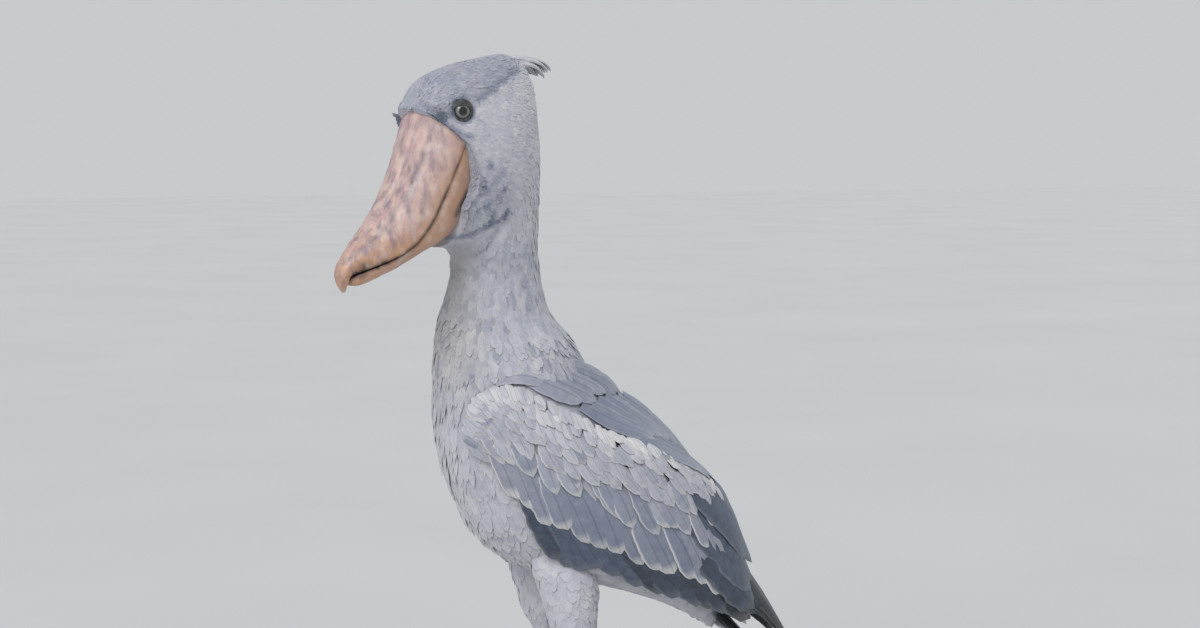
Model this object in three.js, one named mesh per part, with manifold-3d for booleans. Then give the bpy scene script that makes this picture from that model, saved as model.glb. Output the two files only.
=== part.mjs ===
// A shoebill standing at rest, life size, in millimetres.
// +Z is up, the bird looks along -Y and its left side is +X. The head is turned a little to its left.
// While it is modelled, the neck's upright axis is at X = Y = 0 and the floor at Z = 0.
import * as THREE from 'three';
import { mergeVertices } from 'three/addons/utils/BufferGeometryUtils.js';
import Module from 'manifold-3d';

const wasm = await Module();
wasm.setup();

// Driving sizes
const SEAM = 0.3; // gap between pieces that touch
const HEAD_TURN = 23; // degrees from the breast's direction, to the bird's left
const BODY_SIDES = 32;
const NECK_CUT = 8; // where the neck is parted from the head, counting the body's cuts
const SHOULDER_CUT = 11.4; // where it is parted from the torso
const WIDE = 300; // more than half the bird's width

// Points, numbers along a line and closed skins
const vec = (x, y, z) => new THREE.Vector3(x, y, z);
const rad = THREE.MathUtils.degToRad;
const mix = (a, b, t) => a + (b - a) * t;

// A smooth curve through rows of numbers, the first at t = 0, the next at t = 1 and so on.
function through(rows, t) {
  const i = Math.max(0, Math.min(Math.floor(t), rows.length - 2));
  const f = t - i;
  const at = (k) => rows[Math.max(0, Math.min(rows.length - 1, k))];
  return rows[0].map((_, c) => {
    const [a, b, d, e] = [at(i - 1)[c], at(i)[c], at(i + 1)[c], at(i + 2)[c]];
    return b + 0.5 * f * (d - a + f * (2 * a - 5 * b + 4 * d - e + f * (3 * (b - d) + e - a)));
  });
}

// A geometry from points and triangles, turned so that its faces point outwards.
function geometryOf(points, faces) {
  let volume = 0;
  for (const [a, b, c] of faces) {
    volume += points[a].dot(points[b].clone().cross(points[c]));
  }
  const index = faces.flatMap(([a, b, c]) => (volume > 0 ? [a, b, c] : [a, c, b]));
  const geometry = new THREE.BufferGeometry().setFromPoints(points);
  geometry.setIndex(index);
  return geometry;
}

// A closed skin over rings of points, with a fan over each end.
function skinOver(rings) {
  const sides = rings[0].length;
  const points = rings.flat();
  const faces = [];
  for (let r = 0; r + 1 < rings.length; r += 1) {
    for (let s = 0; s < sides; s += 1) {
      const [a, b] = [r * sides + s, r * sides + ((s + 1) % sides)];
      faces.push([a, b, b + sides], [a, b + sides, a + sides]);
    }
  }
  for (const [ring, start] of [[rings[0], 0], [rings.at(-1), (rings.length - 1) * sides]]) {
    const middle = ring.reduce((sum, p) => sum.add(p), vec(0, 0, 0)).divideScalar(sides);
    points.push(middle);
    for (let s = 0; s < sides; s += 1) {
      const pair = [start + s, start + ((s + 1) % sides)];
      faces.push(start === 0 ? [pair[1], pair[0], points.length - 1] : [...pair, points.length - 1]);
    }
  }
  return geometryOf(points, faces);
}

// A closed geometry as a solid that can be joined and cut, and back.
function solidOf(geometry) {
  const bare = geometry.index ? geometry.toNonIndexed() : geometry.clone();
  bare.deleteAttribute('normal');
  bare.deleteAttribute('uv');
  const merged = mergeVertices(bare, 1e-4);
  return new wasm.Manifold(new wasm.Mesh({
    numProp: 3,
    vertProperties: merged.attributes.position.array,
    triVerts: new Uint32Array(merged.index.array),
  }));
}

// The largest closed skin of a solid. Its shortest edges are closed up, save where that would pinch it,
// and points that would fall together are drawn in a little, so that every edge has two faces at every fineness.
const SHORTEST_EDGE = 0.01;
const DRAWN_IN = 0.008;
const CELLS_PER_MM = 400; // points in the same cell count as fallen together
function shellOf(solid) {
  const largest = solid.decompose().reduce((a, b) => (a.volume() > b.volume() ? a : b));
  const { vertProperties: at, triVerts: corners } = largest.getMesh();
  const points = Array.from({ length: at.length / 3 }, (_, i) => vec(at[3 * i], at[3 * i + 1], at[3 * i + 2]));
  const spared = new Set();
  let faces = [];
  for (let pinched = true; pinched;) {
    const home = points.map((_, i) => i);
    const find = (i) => {
      while (home[i] !== i) {
        i = home[i];
      }
      return i;
    };
    for (let i = 0; i < corners.length; i += 3) {
      for (const [j, k] of [[0, 1], [1, 2], [2, 0]]) {
        const [a, b] = [find(corners[i + j]), find(corners[i + k])];
        const free = [corners[i + j], corners[i + k], a, b].every((p) => !spared.has(p));
        if (a !== b && free && points[a].distanceTo(points[b]) < SHORTEST_EDGE) {
          home[a] = b;
        }
      }
    }
    faces = Array.from({ length: corners.length / 3 }, (_, i) => (
      [0, 1, 2].map((k) => find(corners[3 * i + k])))).filter(([a, b, c]) => a !== b && b !== c && c !== a);
    const edges = new Set();
    pinched = false;
    for (const [a, b, c] of faces) {
      for (const [from, to] of [[a, b], [b, c], [c, a]]) {
        if (edges.has(`${from},${to}`)) {
          points.forEach((_, i) => (find(i) === from || find(i) === to) && spared.add(i));
          pinched = true;
        }
        edges.add(`${from},${to}`);
      }
    }
  }
  const inward = points.map(() => vec(0, 0, 0));
  for (const [a, b, c] of faces) {
    const push = points[c].clone().sub(points[b]).cross(points[a].clone().sub(points[b]));
    [a, b, c].forEach((i) => inward[i].sub(push));
  }
  const seen = new Set();
  const used = new Set(faces.flat());
  const key = (point) => point.toArray().map((v) => Math.round(v * CELLS_PER_MM)).join();
  points.forEach((point, i) => {
    while (used.has(i) && seen.has(key(point))) {
      point.addScaledVector(inward[i].clone().normalize(), DRAWN_IN);
    }
    if (used.has(i)) {
      seen.add(key(point));
    }
  });
  const geometry = new THREE.BufferGeometry().setFromPoints(points);
  geometry.setIndex(faces.flat());
  return geometry;
}

const joined = (...solids) => wasm.Manifold.union(solids);

// Body: cuts across the midline, each with its front point (throat, breast, belly) and its back point
// (crown, nape, back) as [y, z], its half-width, the roundness of its front and back halves,
// how far it narrows towards its back point, and its turn
const cut = (name, front, back, half, round = 2.2, roof = round, lean = 0, turn = 0) => (
  { name, row: [...front, ...back, half, round, roof, lean, turn] });
const BODY = [
  cut('lores', [-95, 862], [-141, 1012], 43, 2.3, 2.3, 0.1, HEAD_TURN),
  cut('forehead', [-88, 861], [-131, 1041], 50, 2.3, 2.3, 0.12, HEAD_TURN),
  cut('brow', [-81, 860], [-114, 1066], 55, 2.3, 2.3, 0.14, HEAD_TURN),
  cut('fore crown', [-75, 859], [-77, 1083], 59, 2.3, 2.3, 0.15, HEAD_TURN),
  cut('crown', [-69, 857], [-30, 1094], 61, 2.3, 2.3, 0.15, HEAD_TURN),
  cut('hind crown', [-64, 854], [14, 1099], 61, 2.3, 2.3, 0.14, HEAD_TURN),
  cut('nape', [-60, 849], [41, 1079], 60, 2.3, 2.3, 0.12, HEAD_TURN),
  cut('upper neck', [-58, 843], [52, 1030], 58, 2.2, 2.2, 0.08, HEAD_TURN),
  cut('neck', [-58, 835], [57, 978], 55, 2.2, 2.2, 0.04, HEAD_TURN * 0.9),
  cut('mid neck', [-60, 822], [57, 915], 52, 2.1, 2.1, 0, HEAD_TURN * 0.75),
  cut('lower neck', [-66, 802], [57, 850], 52, 2.1, 2.1, 0, HEAD_TURN * 0.55),
  cut('neck base', [-76, 770], [69, 787], 62, 2.1, 2.1, 0, HEAD_TURN * 0.3),
  cut('throat', [-81, 738], [98, 745], 79, 2.1, 2.1, 0, HEAD_TURN * 0.1),
  cut('shoulder', [-83, 700], [125, 702], 93, 2.2, 2),
  cut('breast', [-83, 655], [169, 664], 101, 2.2, 1.8),
  cut('mantle', [-77, 605], [212, 622], 103, 2.3, 1.75),
  cut('flank', [-63, 560], [248, 580], 102, 2.3, 1.75),
  cut('belly', [-40, 511], [275, 538], 98, 2.3, 1.8),
  cut('loin', [2, 470], [290, 496], 88, 2.2, 1.8),
  cut('vent', [60, 447], [297, 452], 73, 2.1, 1.8),
  cut('rump', [130, 427], [303, 413], 54, 2.1, 1.8),
  cut('tail root', [200, 404], [303, 378], 38, 2, 2),
  cut('tail base', [256, 378], [292, 356], 26, 2, 2),
];
const BODY_ROWS = BODY.map((c) => c.row);
const LAST_CUT = BODY_ROWS.length - 1;
const HEAD_RINGS_PER_CUT = 3;
const RINGS_PER_CUT = 2;
const ringsAt = [
  ...Array.from({ length: NECK_CUT * HEAD_RINGS_PER_CUT }, (_, i) => i / HEAD_RINGS_PER_CUT),
  ...Array.from({ length: (LAST_CUT - NECK_CUT) * RINGS_PER_CUT + 1 }, (_, i) => NECK_CUT + i / RINGS_PER_CUT),
];

// Where the flesh swells (or sinks) from the plain form, on both sides of the head:
// t counts the cuts, side is the angle up from the side in degrees, and both have a spread
const SWELLS = [
  { name: 'brow', t: 2.6, side: 44, spreadT: 1.3, spread: 12, out: 3.2 },
  { name: 'eye hollow', t: 2.6, side: 27, spreadT: 0.55, spread: 11, out: -3 },
  { name: 'cheek', t: 4.4, side: -28, spreadT: 1.6, spread: 22, out: 4 },
  { name: 'jaw fold', t: 7.3, side: -46, spreadT: 0.8, spread: 22, out: -4.5 },
];

// A point of the body's surface: t counts the cuts, angle runs from the left side (0) over the back (90).
function onBody(t, angle, grow = 0) {
  const [fy, fz, by, bz, half, round, roof, lean, turn] = through(BODY_ROWS, t);
  const reach = Math.hypot(by - fy, bz - fz) / 2;
  const [c, s] = [Math.cos(angle), Math.sin(angle)];
  const side = THREE.MathUtils.radToDeg(Math.asin(s));
  const swell = SWELLS.reduce((sum, w) => (
    sum + w.out * Math.exp(-(((t - w.t) / w.spreadT) ** 2) - ((side - w.side) / w.spread) ** 2)), grow);
  const power = 2 / mix(round, roof, THREE.MathUtils.smoothstep(s, -0.25, 0.25));
  const across = Math.sign(c) * Math.abs(c) ** power * (half * (1 - lean * s) + swell);
  const along = Math.sign(s) * Math.abs(s) ** power * (1 + swell / reach);
  const y = (fy + by) / 2 + along * (by - fy) / 2;
  const z = (fz + bz) / 2 + along * (bz - fz) / 2;
  return vec(across, y, z).applyAxisAngle(vec(0, 0, 1), rad(turn));
}

function bodyLoft(grow = 0) {
  return skinOver(ringsAt.map((t) => (
    Array.from({ length: BODY_SIDES }, (_, k) => onBody(t, (k / BODY_SIDES) * 2 * Math.PI, grow)))));
}

// Bill: half sections as shares of the half-width and of the height from the mouth, then the cuts from the culmen
// to the edge of the mouth (upper) and from the mouth to the chin (lower), as two points [y, z] and a half-width
const UPPER_SECTION = [[0, 1], [0.13, 0.985], [0.2, 0.93], [0.28, 0.92], [0.5, 0.85], [0.72, 0.69], [0.89, 0.47],
  [0.98, 0.22], [1, 0.06], [0.96, 0], [0.7, 0.05], [0.35, 0.09], [0, 0.1]];
const LOWER_SECTION = [[0, 0], [0.5, 0], [0.9, 0], [1, 0.1], [0.97, 0.35], [0.86, 0.65], [0.62, 0.9], [0.3, 1], [0, 1]];
const UPPER = [
  [-120, 1052, -72, 1008, 50],
  [-128, 1027, -84, 990, 52],
  [-139, 996, -94, 969, 52.5],
  [-149, 967, -106, 944, 51],
  [-161, 942, -117, 919, 49],
  [-174, 921, -131, 893, 46],
  [-188, 903, -148, 872, 42],
  [-204, 884, -170, 857, 36.5],
  [-221, 865, -193, 847, 28.5],
  [-233, 849, -213, 839, 19],
  [-238, 836, -224, 834, 12],
  [-236, 824, -226, 823, 6.5],
  [-229, 814, -226, 815, 2.2],
];
const LOWER = [
  [-76, 1004, -50, 990, 47],
  [-85, 987, -56, 968, 49],
  [-95, 967, -56, 942, 50],
  [-107, 942, -60, 912, 49],
  [-118, 917, -76, 890, 47],
  [-132, 891, -98, 871, 43],
  [-149, 870, -130, 857, 38],
  [-171, 855, -160, 842, 32],
  [-194, 845, -186, 830, 24],
  [-213, 837, -208, 822, 15.5],
  [-222, 832, -218, 822, 9],
];

// A ring of a bill: the half section on the left, and back along it on the right.
function billRing(section, [startY, startZ, endY, endZ, half], grow = 0) {
  const back = section.slice(1, -1).reverse().map(([x, h]) => [-x, h]);
  return [...section, ...back].map(([x, h]) => vec(x * (half + grow), mix(startY, endY, h), mix(startZ, endZ, h)));
}
const upperRing = ([cy, cz, ty, tz, half], grow = 0) => billRing(UPPER_SECTION, [ty, tz, cy, cz, half], grow);
const lowerRing = (row) => billRing(LOWER_SECTION, row);

const ringsOf = (rows, steps, ringOf) => Array.from({ length: steps + 1 },
  (_, i) => ringOf(through(rows, (i / steps) * (rows.length - 1))));

// Cutting tools: a prism drawn in the side plane (y, z), and a thin slab along one of the cuts, wider than the bird
function sidePrism(outline, turn) {
  const shape = new THREE.Shape(outline.map(([y, z]) => new THREE.Vector2(y, z)));
  const geometry = new THREE.ExtrudeGeometry(shape, { depth: 2 * WIDE, bevelEnabled: false });
  geometry.applyMatrix4(new THREE.Matrix4().makeBasis(vec(0, 1, 0), vec(0, 0, 1), vec(1, 0, 0)));
  geometry.translate(-WIDE, 0, 0);
  geometry.rotateZ(rad(turn));
  return solidOf(geometry);
}

function slabAt(t) {
  const [fy, fz, by, bz, , , , , turn] = through(BODY_ROWS, t);
  const along = new THREE.Vector2(by - fy, bz - fz).normalize();
  const off = new THREE.Vector2(-along.y, along.x).multiplyScalar(SEAM / 2);
  const beyond = 99;
  const front = new THREE.Vector2(fy, fz).addScaledVector(along, -beyond);
  const back = new THREE.Vector2(by, bz).addScaledVector(along, beyond);
  const outline = [front.clone().sub(off), back.clone().sub(off), back.clone().add(off), front.clone().add(off)];
  return sidePrism(outline.map((p) => p.toArray()), turn);
}

// An ellipsoid, tilted nose up by so many degrees; detail is its sides round and its steps from pole to pole.
function ellipsoid(centre, radii, tilt = 0, detail = [12, 8]) {
  const geometry = new THREE.SphereGeometry(1, ...detail);
  geometry.rotateX(Math.PI / 2);
  geometry.scale(...radii);
  geometry.rotateX(rad(tilt));
  geometry.translate(...centre);
  return geometry;
}

// A thing made on the bird's left, as it would be on its right.
function mirrored(geometry) {
  const copy = geometry.index ? geometry.toNonIndexed() : geometry.clone();
  const p = copy.attributes.position;
  for (let i = 0; i < p.count; i += 3) {
    const corners = [0, 2, 1].map((k) => [-p.getX(i + k), p.getY(i + k), p.getZ(i + k)]);
    corners.forEach(([x, y, z], k) => p.setXYZ(i + k, x, y, z));
  }
  return copy;
}
const onSide = (geometry, side) => (side > 0 ? geometry : mirrored(geometry));
const turned = (geometry) => geometry.rotateZ(rad(HEAD_TURN));

// Feathers: a vane is a blade along a line of spots (points with normals), widest past its middle. It rolls
// a little on its shaft, so that one edge lies under the next vane, and it is deep enough to sink into what lies
// under it.
function vane(spots, halfWidth, { shape, deep = [1, 1], roll = 0 }) {
  const last = spots.length - 1;
  const rings = spots.map(({ point, normal }, i) => {
    const along = spots[Math.min(last, i + 1)].point.clone().sub(spots[Math.max(0, i - 1)].point).normalize();
    const across = normal.clone().cross(along).normalize().applyAxisAngle(along, rad(roll));
    const up = along.clone().cross(across);
    const half = halfWidth * shape[i];
    const depth = mix(...deep, i / last);
    return [[-half, 0], [half, 0], [half, -depth], [-half, -depth]]
      .map(([x, h]) => point.clone().addScaledVector(across, x).addScaledVector(up, h));
  });
  return solidOf(skinOver(rings));
}

// Wing: ribs over the folded wing from the wrist to the tip; each runs from the spine over the top edge to the low edge
const rib = (name, spine, top, middle, low) => [...spine, ...top, ...middle, ...low];
const WING = [
  rib('wrist', [74, -10, 706], [82, -50, 680], [77, -62, 645], [70, -52, 606]),
  rib('hand', [64, 52, 720], [96, -12, 686], [96, -24, 634], [76, -21, 582]),
  rib('inner hand', [46, 118, 700], [106, 45, 655], [111, 30, 590], [84, 30, 512]),
  rib('forearm', [30, 179, 657], [108, 103, 626], [116, 90, 555], [80, 80, 470]),
  rib('mid forearm', [22, 229, 611], [97, 170, 603], [112, 150, 520], [74, 135, 440]),
  rib('elbow', [16, 268, 561], [78, 236, 572], [100, 212, 490], [70, 200, 408]),
  rib('tertials', [12, 296, 512], [52, 284, 528], [76, 270, 450], [60, 262, 378]),
  rib('primaries', [10, 322, 466], [26, 318, 474], [56, 316, 410], [50, 318, 352]),
  rib('outer primaries', [10, 351, 415], [17, 350, 418], [42, 358, 375], [42, 362, 330]),
  rib('tips', [12, 381, 356], [18, 384, 352], [32, 390, 337], [34, 394, 318]),
  rib('tip', [20, 399, 324], [22, 400, 323], [25, 401, 320], [27, 401, 316]),
];

// A spot on the folded left wing: s from the wrist (0) to the tip (1), w from the spine (-0.5) over the top edge (0)
// to the low edge (1), lifted off it along the normal.
function onWing(s, w, lift = 0) {
  const bed = (u, v) => {
    const row = through(WING, u * (WING.length - 1));
    const line = [0, 3, 6, 9].map((i) => row.slice(i, i + 3));
    return vec(...through(line, (v + 0.5) * 2));
  };
  const point = bed(s, w);
  const back = bed(s + 0.01, w).sub(bed(s - 0.01, w));
  const down = bed(s, w + 0.01).sub(bed(s, w - 0.01));
  const normal = down.cross(back).normalize();
  return { point: point.addScaledVector(normal, lift), normal };
}

// How deep the feathers lie over the wing's bed.
const ease = (from, to, x) => THREE.MathUtils.smoothstep(x, from, to);
const PILE = 6;
function pile(s, w) {
  const overBed = w < 0 ? PILE + 10 * w : PILE - 5 * w;
  return overBed * mix(0.5, 1, ease(0, 0.12, s)) * mix(1, 0.4, ease(0.5, 0.85, s));
}

// Outlines of a feather: the places along it, and how wide it is there as a share of its half-width
const SHORT = { places: [0.12, 0.68, 1], shape: [0.95, 1, 0.42] };
const LONG = { places: [0, 0.6, 1], shape: [0.8, 1, 0.4] };
const FEATHER_ROLL = 5;

// Rows of feathers: where the first and last feather's root and tip lie as [s, w], how far they lift off the pile
// from root to tip, how deep they are, and how much lower each lies than the one before it
const ROWS = [
  { name: 'scapulars', count: 3, roots: [[0.13, -0.3], [0.4, -0.4]], tips: [[0.44, -0.08], [0.78, -0.2]],
    half: 29, lift: [-1.5, 2.6], deep: [7.5, 8], outline: SHORT },
  { name: 'median coverts', count: 7, roots: [[0.09, 0.3], [0.52, 0.22]], tips: [[0.15, 0.74], [0.65, 0.56]],
    half: 22, lift: [-1.4, 2.2], deep: [7.5, 8], outline: SHORT },
  { name: 'greater coverts', count: 6, roots: [[0.11, 0.6], [0.52, 0.46]], tips: [[0.2, 0.98], [0.68, 0.78]],
    half: 25, lift: [-1.5, 2], deep: [7.5, 6.4], outline: SHORT },
  { name: 'tertials', count: 2, roots: [[0.48, 0.12], [0.54, 0.36]], tips: [[0.84, 0.1], [0.85, 0.5]],
    half: 26, lift: [-1.6, 1.4], deep: [7.5, 5.1], outline: LONG },
  { name: 'secondaries', count: 4, roots: [[0.18, 0.76], [0.48, 0.6]], tips: [[0.32, 1.04], [0.76, 0.92]],
    half: 30, lift: [-1.6, 0.2], deep: [6.5, 2.9], outline: LONG },
  { name: 'primaries', count: 3, roots: [[0.56, 0.44], [0.54, 0.8]], tips: [[1.0, 0.5], [0.9, 0.94]],
    half: 20, lift: [-2.2, -0.6], deep: [7, 3.5], outline: LONG, step: 1.1 },
];

function featherRow({ count, roots, tips, half, lift, deep, outline, step = 0 }) {
  return Array.from({ length: count }, (_, i) => {
    const f = i / (count - 1);
    const [root, tip] = [through(roots, f), through(tips, f)];
    const spots = outline.places.map((k) => {
      const [s, w] = [mix(root[0], tip[0], k), mix(root[1], tip[1], k)];
      return onWing(s, w, pile(s, w) + mix(...lift, k) - i * step);
    });
    return vane(spots, half, { shape: outline.shape, deep, roll: FEATHER_ROLL });
  });
}

// The fleshy arm and hand the feathers grow from: where it lies along and across the wing, and how deep it is
const WING_FLESH = { from: 0.01, to: 0.68, across: [-0.44, -0.2, 0, 0.25, 0.55, 0.8], deep: 18, thin: 3, rings: 8 };
function wingCore() {
  const { from, to, across, deep, thin } = WING_FLESH;
  const rings = Array.from({ length: WING_FLESH.rings }, (_, i) => {
    const s = mix(from, to, i / (WING_FLESH.rings - 1));
    const inner = mix(-deep, -thin, ease(0.42, 0.6, s));
    const outer = across.map((w) => onWing(s, w, pile(s, w) - 1).point);
    const under = across.map((w) => onWing(s, w, inner).point).reverse();
    return [...outer, ...under];
  });
  return solidOf(skinOver(rings));
}

// Tail: twelve long feathers spread a little, over a short fleshy root, with three coverts above
const TAIL_ROOT = vec(0, 272, 398);
const TAIL_ALONG = vec(0, 0.717, -0.697);
const TAIL_UP = vec(0, 0.697, 0.717);
const TAIL_FLESH = { centre: [0, 286, 385], radii: [25, 62, 13], tilt: -44 };
const TAIL_FEATHER = { pairs: 6, half: 18, start: 18, length: 144, drop: 2 };
const TAIL_COVERTS = [
  { aside: -13, root: 8, height: 7.7, length: 72 },
  { aside: 0, root: 0, height: 9, length: 86 },
  { aside: 13, root: 8, height: 7.7, length: 72 },
];

function tailFeather({ side, rootAside, tipAside, height, start, length, half, roll = 0 }) {
  const spots = [0, 0.5, 0.9, 1].map((f) => {
    const point = TAIL_ROOT.clone().addScaledVector(TAIL_ALONG, start + f * length)
      .addScaledVector(TAIL_UP, height - TAIL_FEATHER.drop * f * f);
    point.x += side * mix(rootAside, tipAside, f);
    return { point, normal: TAIL_UP.clone() };
  });
  return vane(spots, half, { shape: [0.6, 0.9, 1, 0.6], roll: roll * side, deep: [2.4, 1.4] });
}

function tailSolid() {
  const parts = [solidOf(ellipsoid(TAIL_FLESH.centre, TAIL_FLESH.radii, TAIL_FLESH.tilt, [14, 10]))];
  for (let i = 0; i < TAIL_FEATHER.pairs; i += 1) {
    for (const side of [1, -1]) {
      const { start, half } = TAIL_FEATHER;
      parts.push(tailFeather({
        side, start, half, rootAside: 2 + i * 3.4, tipAside: 4 + i * 5.2, roll: 1,
        height: 5 - i * 1.9 - (side > 0 ? 0 : 0.9), length: TAIL_FEATHER.length - i * 2.5,
      }));
    }
  }
  for (const { aside, root, height, length } of TAIL_COVERTS) {
    parts.push(tailFeather({
      side: Math.sign(aside) || 1, rootAside: root, tipAside: Math.abs(aside), height, start: 4, length, half: 15,
    }));
  }
  return joined(...parts);
}

// Legs: levels down each leg as [x, y, z, half-width across, half-width along]; the right leg stands further forward
const RIGHT_STEP = -6;
const THIGH = [
  [45, 58, 505, 24, 32],
  [47, 68, 475, 30, 40],
  [50, 76, 445, 33, 41],
  [52, 81, 415, 33, 37],
  [52, 84, 392, 30, 33.5],
  [52.5, 88, 371, 24, 27],
  [53, 93, 352, 17.5, 19.5],
  [53, 97, 338, 13, 14],
];
const SHANK = [
  [53, 97, 337.7, 9.5, 10],
  [54, 103, 312, 9.5, 10],
  [54.5, 110, 288, 11.5, 13],
  [55, 116, 272, 14.5, 16.5],
  [55, 117, 258, 15, 17.5],
  [55.5, 115, 240, 12, 14.5],
  [56.5, 111.5, 205, 9, 11],
  [58, 106, 150, 8.5, 10.5],
  [59, 102, 90, 8.7, 10.5],
  [59.5, 99, 52, 10.5, 12],
  [60, 97, 32, 13, 14.5],
  [60, 97, 20, 11, 12],
];

function limb(rows, steps, sides, grow = 0) {
  return skinOver(ringsOf(rows, steps, ([x, y, z, across, along]) => Array.from({ length: sides }, (_, k) => {
    const angle = (k / sides) * 2 * Math.PI;
    return vec(x + (across + grow) * Math.cos(angle), y + (along + grow) * Math.sin(angle), z);
  })));
}

// Foot and toes: each toe's aim in degrees to the right of straight ahead, and its length and its claw's
const FOOT = { centre: [60, 95, 19], radii: [17, 21, 15.5] };
const TOE_START = vec(60, 95, 0);
const TOES = [
  { name: 'toe_inner', aim: 18, length: 138, claw: 24 },
  { name: 'toe_middle', aim: -7, length: 176, claw: 27 },
  { name: 'toe_outer', aim: -34, length: 146, claw: 24 },
  { name: 'toe_hind', aim: 172, length: 84, claw: 24 },
];
const TOE = { thick: 10.5, thin: 6.8, padLength: 42, padSwell: 0.09, sides: 8 };
const CLAW = { thick: 4.6, thin: 0.7, high: 7.4, low: 1.5, arch: 1.2, buried: 9, sides: 6, rings: 4 };

function toeLine(aim) {
  const turn = rad(aim);
  const ahead = vec(-Math.sin(turn), -Math.cos(turn), 0);
  return { ahead, aside: vec(-ahead.y, ahead.x, 0) };
}

// A toe lies flat on the floor: pads along it, each flattened below.
function toeSkin({ aim, length }) {
  const { ahead, aside } = toeLine(aim);
  const pads = Math.round(length / TOE.padLength);
  const last = 2 * pads + 1;
  return skinOver(Array.from({ length: last + 1 }, (_, i) => {
    const f = i / last;
    const swell = 1 + TOE.padSwell * Math.sin(f * pads * 2 * Math.PI - 1.2);
    const radius = mix(TOE.thick, TOE.thin, f) * swell * (i === last ? 0.8 : 1);
    const centre = TOE_START.clone().addScaledVector(ahead, mix(12, length, f));
    return Array.from({ length: TOE.sides }, (__, k) => {
      const angle = ((k + 0.5) / TOE.sides) * 2 * Math.PI;
      const point = centre.clone().addScaledVector(aside, radius * Math.cos(angle));
      point.z = Math.max(0, radius * (0.82 + 1.06 * Math.sin(angle)));
      return point;
    });
  }));
}

// A claw grows out of its toe's end and arches down to a point near the floor.
function clawSkin({ aim, length, claw }) {
  const { ahead, aside } = toeLine(aim);
  return skinOver(Array.from({ length: CLAW.rings }, (_, i) => {
    const f = i / (CLAW.rings - 1);
    const radius = mix(CLAW.thick, CLAW.thin, f ** 1.3);
    const centre = TOE_START.clone().addScaledVector(ahead, length - CLAW.buried + f * (claw + CLAW.buried));
    centre.z = mix(CLAW.high, CLAW.low, f ** 2.2) + CLAW.arch * Math.sin(f * Math.PI);
    return Array.from({ length: CLAW.sides }, (__, k) => {
      const angle = (k / CLAW.sides) * 2 * Math.PI;
      const point = centre.clone().addScaledVector(aside, 0.8 * radius * Math.cos(angle));
      point.z += radius * Math.sin(angle);
      return point;
    });
  }));
}

// Crest: feathers from the back of the crown that close to one drooping tuft; how far aside each grows, its height
// over the tuft's bed, and its length
const CREST_FLESH = { centre: [0, 34, 1081], radii: [19, 26, 15], tilt: -8 };
const CREST_BED = { start: 24, height: 1092, arch: 4, droop: 17 };
const CREST_HALF = 9;
const CREST = [[0, 4, 66], [8, 2, 58], [-8, 2, 60], [13, -3, 48], [-13, -3, 50], [4, -5, 54]];

function crestSolid() {
  const up = vec(0, 0, 1);
  const parts = [solidOf(turned(ellipsoid(CREST_FLESH.centre, CREST_FLESH.radii, CREST_FLESH.tilt)))];
  for (const [aside, lift, length] of CREST) {
    const spots = [0, 0.4, 0.75, 1].map((f) => {
      const height = CREST_BED.height + lift + CREST_BED.arch * Math.sin(2 * f) - CREST_BED.droop * f ** 2.2;
      const point = vec(aside * (1 - 0.5 * f), CREST_BED.start + f * length, height);
      const normal = vec(aside * 0.03, 0.12, 1).normalize();
      return { point: point.applyAxisAngle(up, rad(HEAD_TURN)), normal: normal.applyAxisAngle(up, rad(HEAD_TURN)) };
    });
    parts.push(vane(spots, CREST_HALF, { shape: [0.8, 1, 0.7, 0.25], deep: [7, 2] }));
  }
  return joined(...parts);
}

// Putting the bird together
const bird = new THREE.Group();
bird.name = 'shoebill';

function addPart(name, geometry, color, roughness = 0.8) {
  geometry.computeVertexNormals();
  const mesh = new THREE.Mesh(geometry, new THREE.MeshStandardMaterial({ color, roughness }));
  mesh.name = name;
  bird.add(mesh);
}

const COLORS = { plumage: 0x7d8590, dark: 0x3b4450, bill: 0xb08a80, eye: 0xb7b39a, skin: 0x4a4742, claw: 0x2a2826 };
const SIDES = { left: 1, right: -1 };

// The bill's room in front of the face: below the brow line and in front of the gape and the chin
const FACE_EDGE = [[-196, 1088], [-83, 988], [-76, 968], [-72, 946], [-76, 930], [-85, 912], [-84, 892],
  [-90, 870], [-104, 850]];
const billRoom = sidePrism([...FACE_EDGE, [-104, 700], [-400, 700], [-400, 1088]], HEAD_TURN);
const forward = vec(0, -1.2 * SEAM, 0).applyAxisAngle(vec(0, 0, 1), rad(HEAD_TURN));
const billSpace = billRoom.translate(forward.toArray());

const flesh = solidOf(bodyLoft());
const fleshOut = solidOf(bodyLoft(SEAM));

// Eyes, and the lids round each
const EYE = { centre: [39, -83, 1027], radius: 13 };
const LIDS = { ring: 11.6, thick: 2.9, turn: 70, out: 5.5, ahead: 2.5, detail: [7, 18] };

function eyeball(side, grow = 0) {
  const [x, y, z] = EYE.centre;
  return turned(ellipsoid([side * x, y, z], Array(3).fill(EYE.radius + grow)));
}

function lids(side) {
  const [x, y, z] = EYE.centre;
  const ring = new THREE.TorusGeometry(LIDS.ring, LIDS.thick, ...LIDS.detail);
  ring.rotateY(rad(side * LIDS.turn));
  ring.translate(side * (x + LIDS.out), y - LIDS.ahead, z);
  return solidOf(turned(ring));
}

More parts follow.
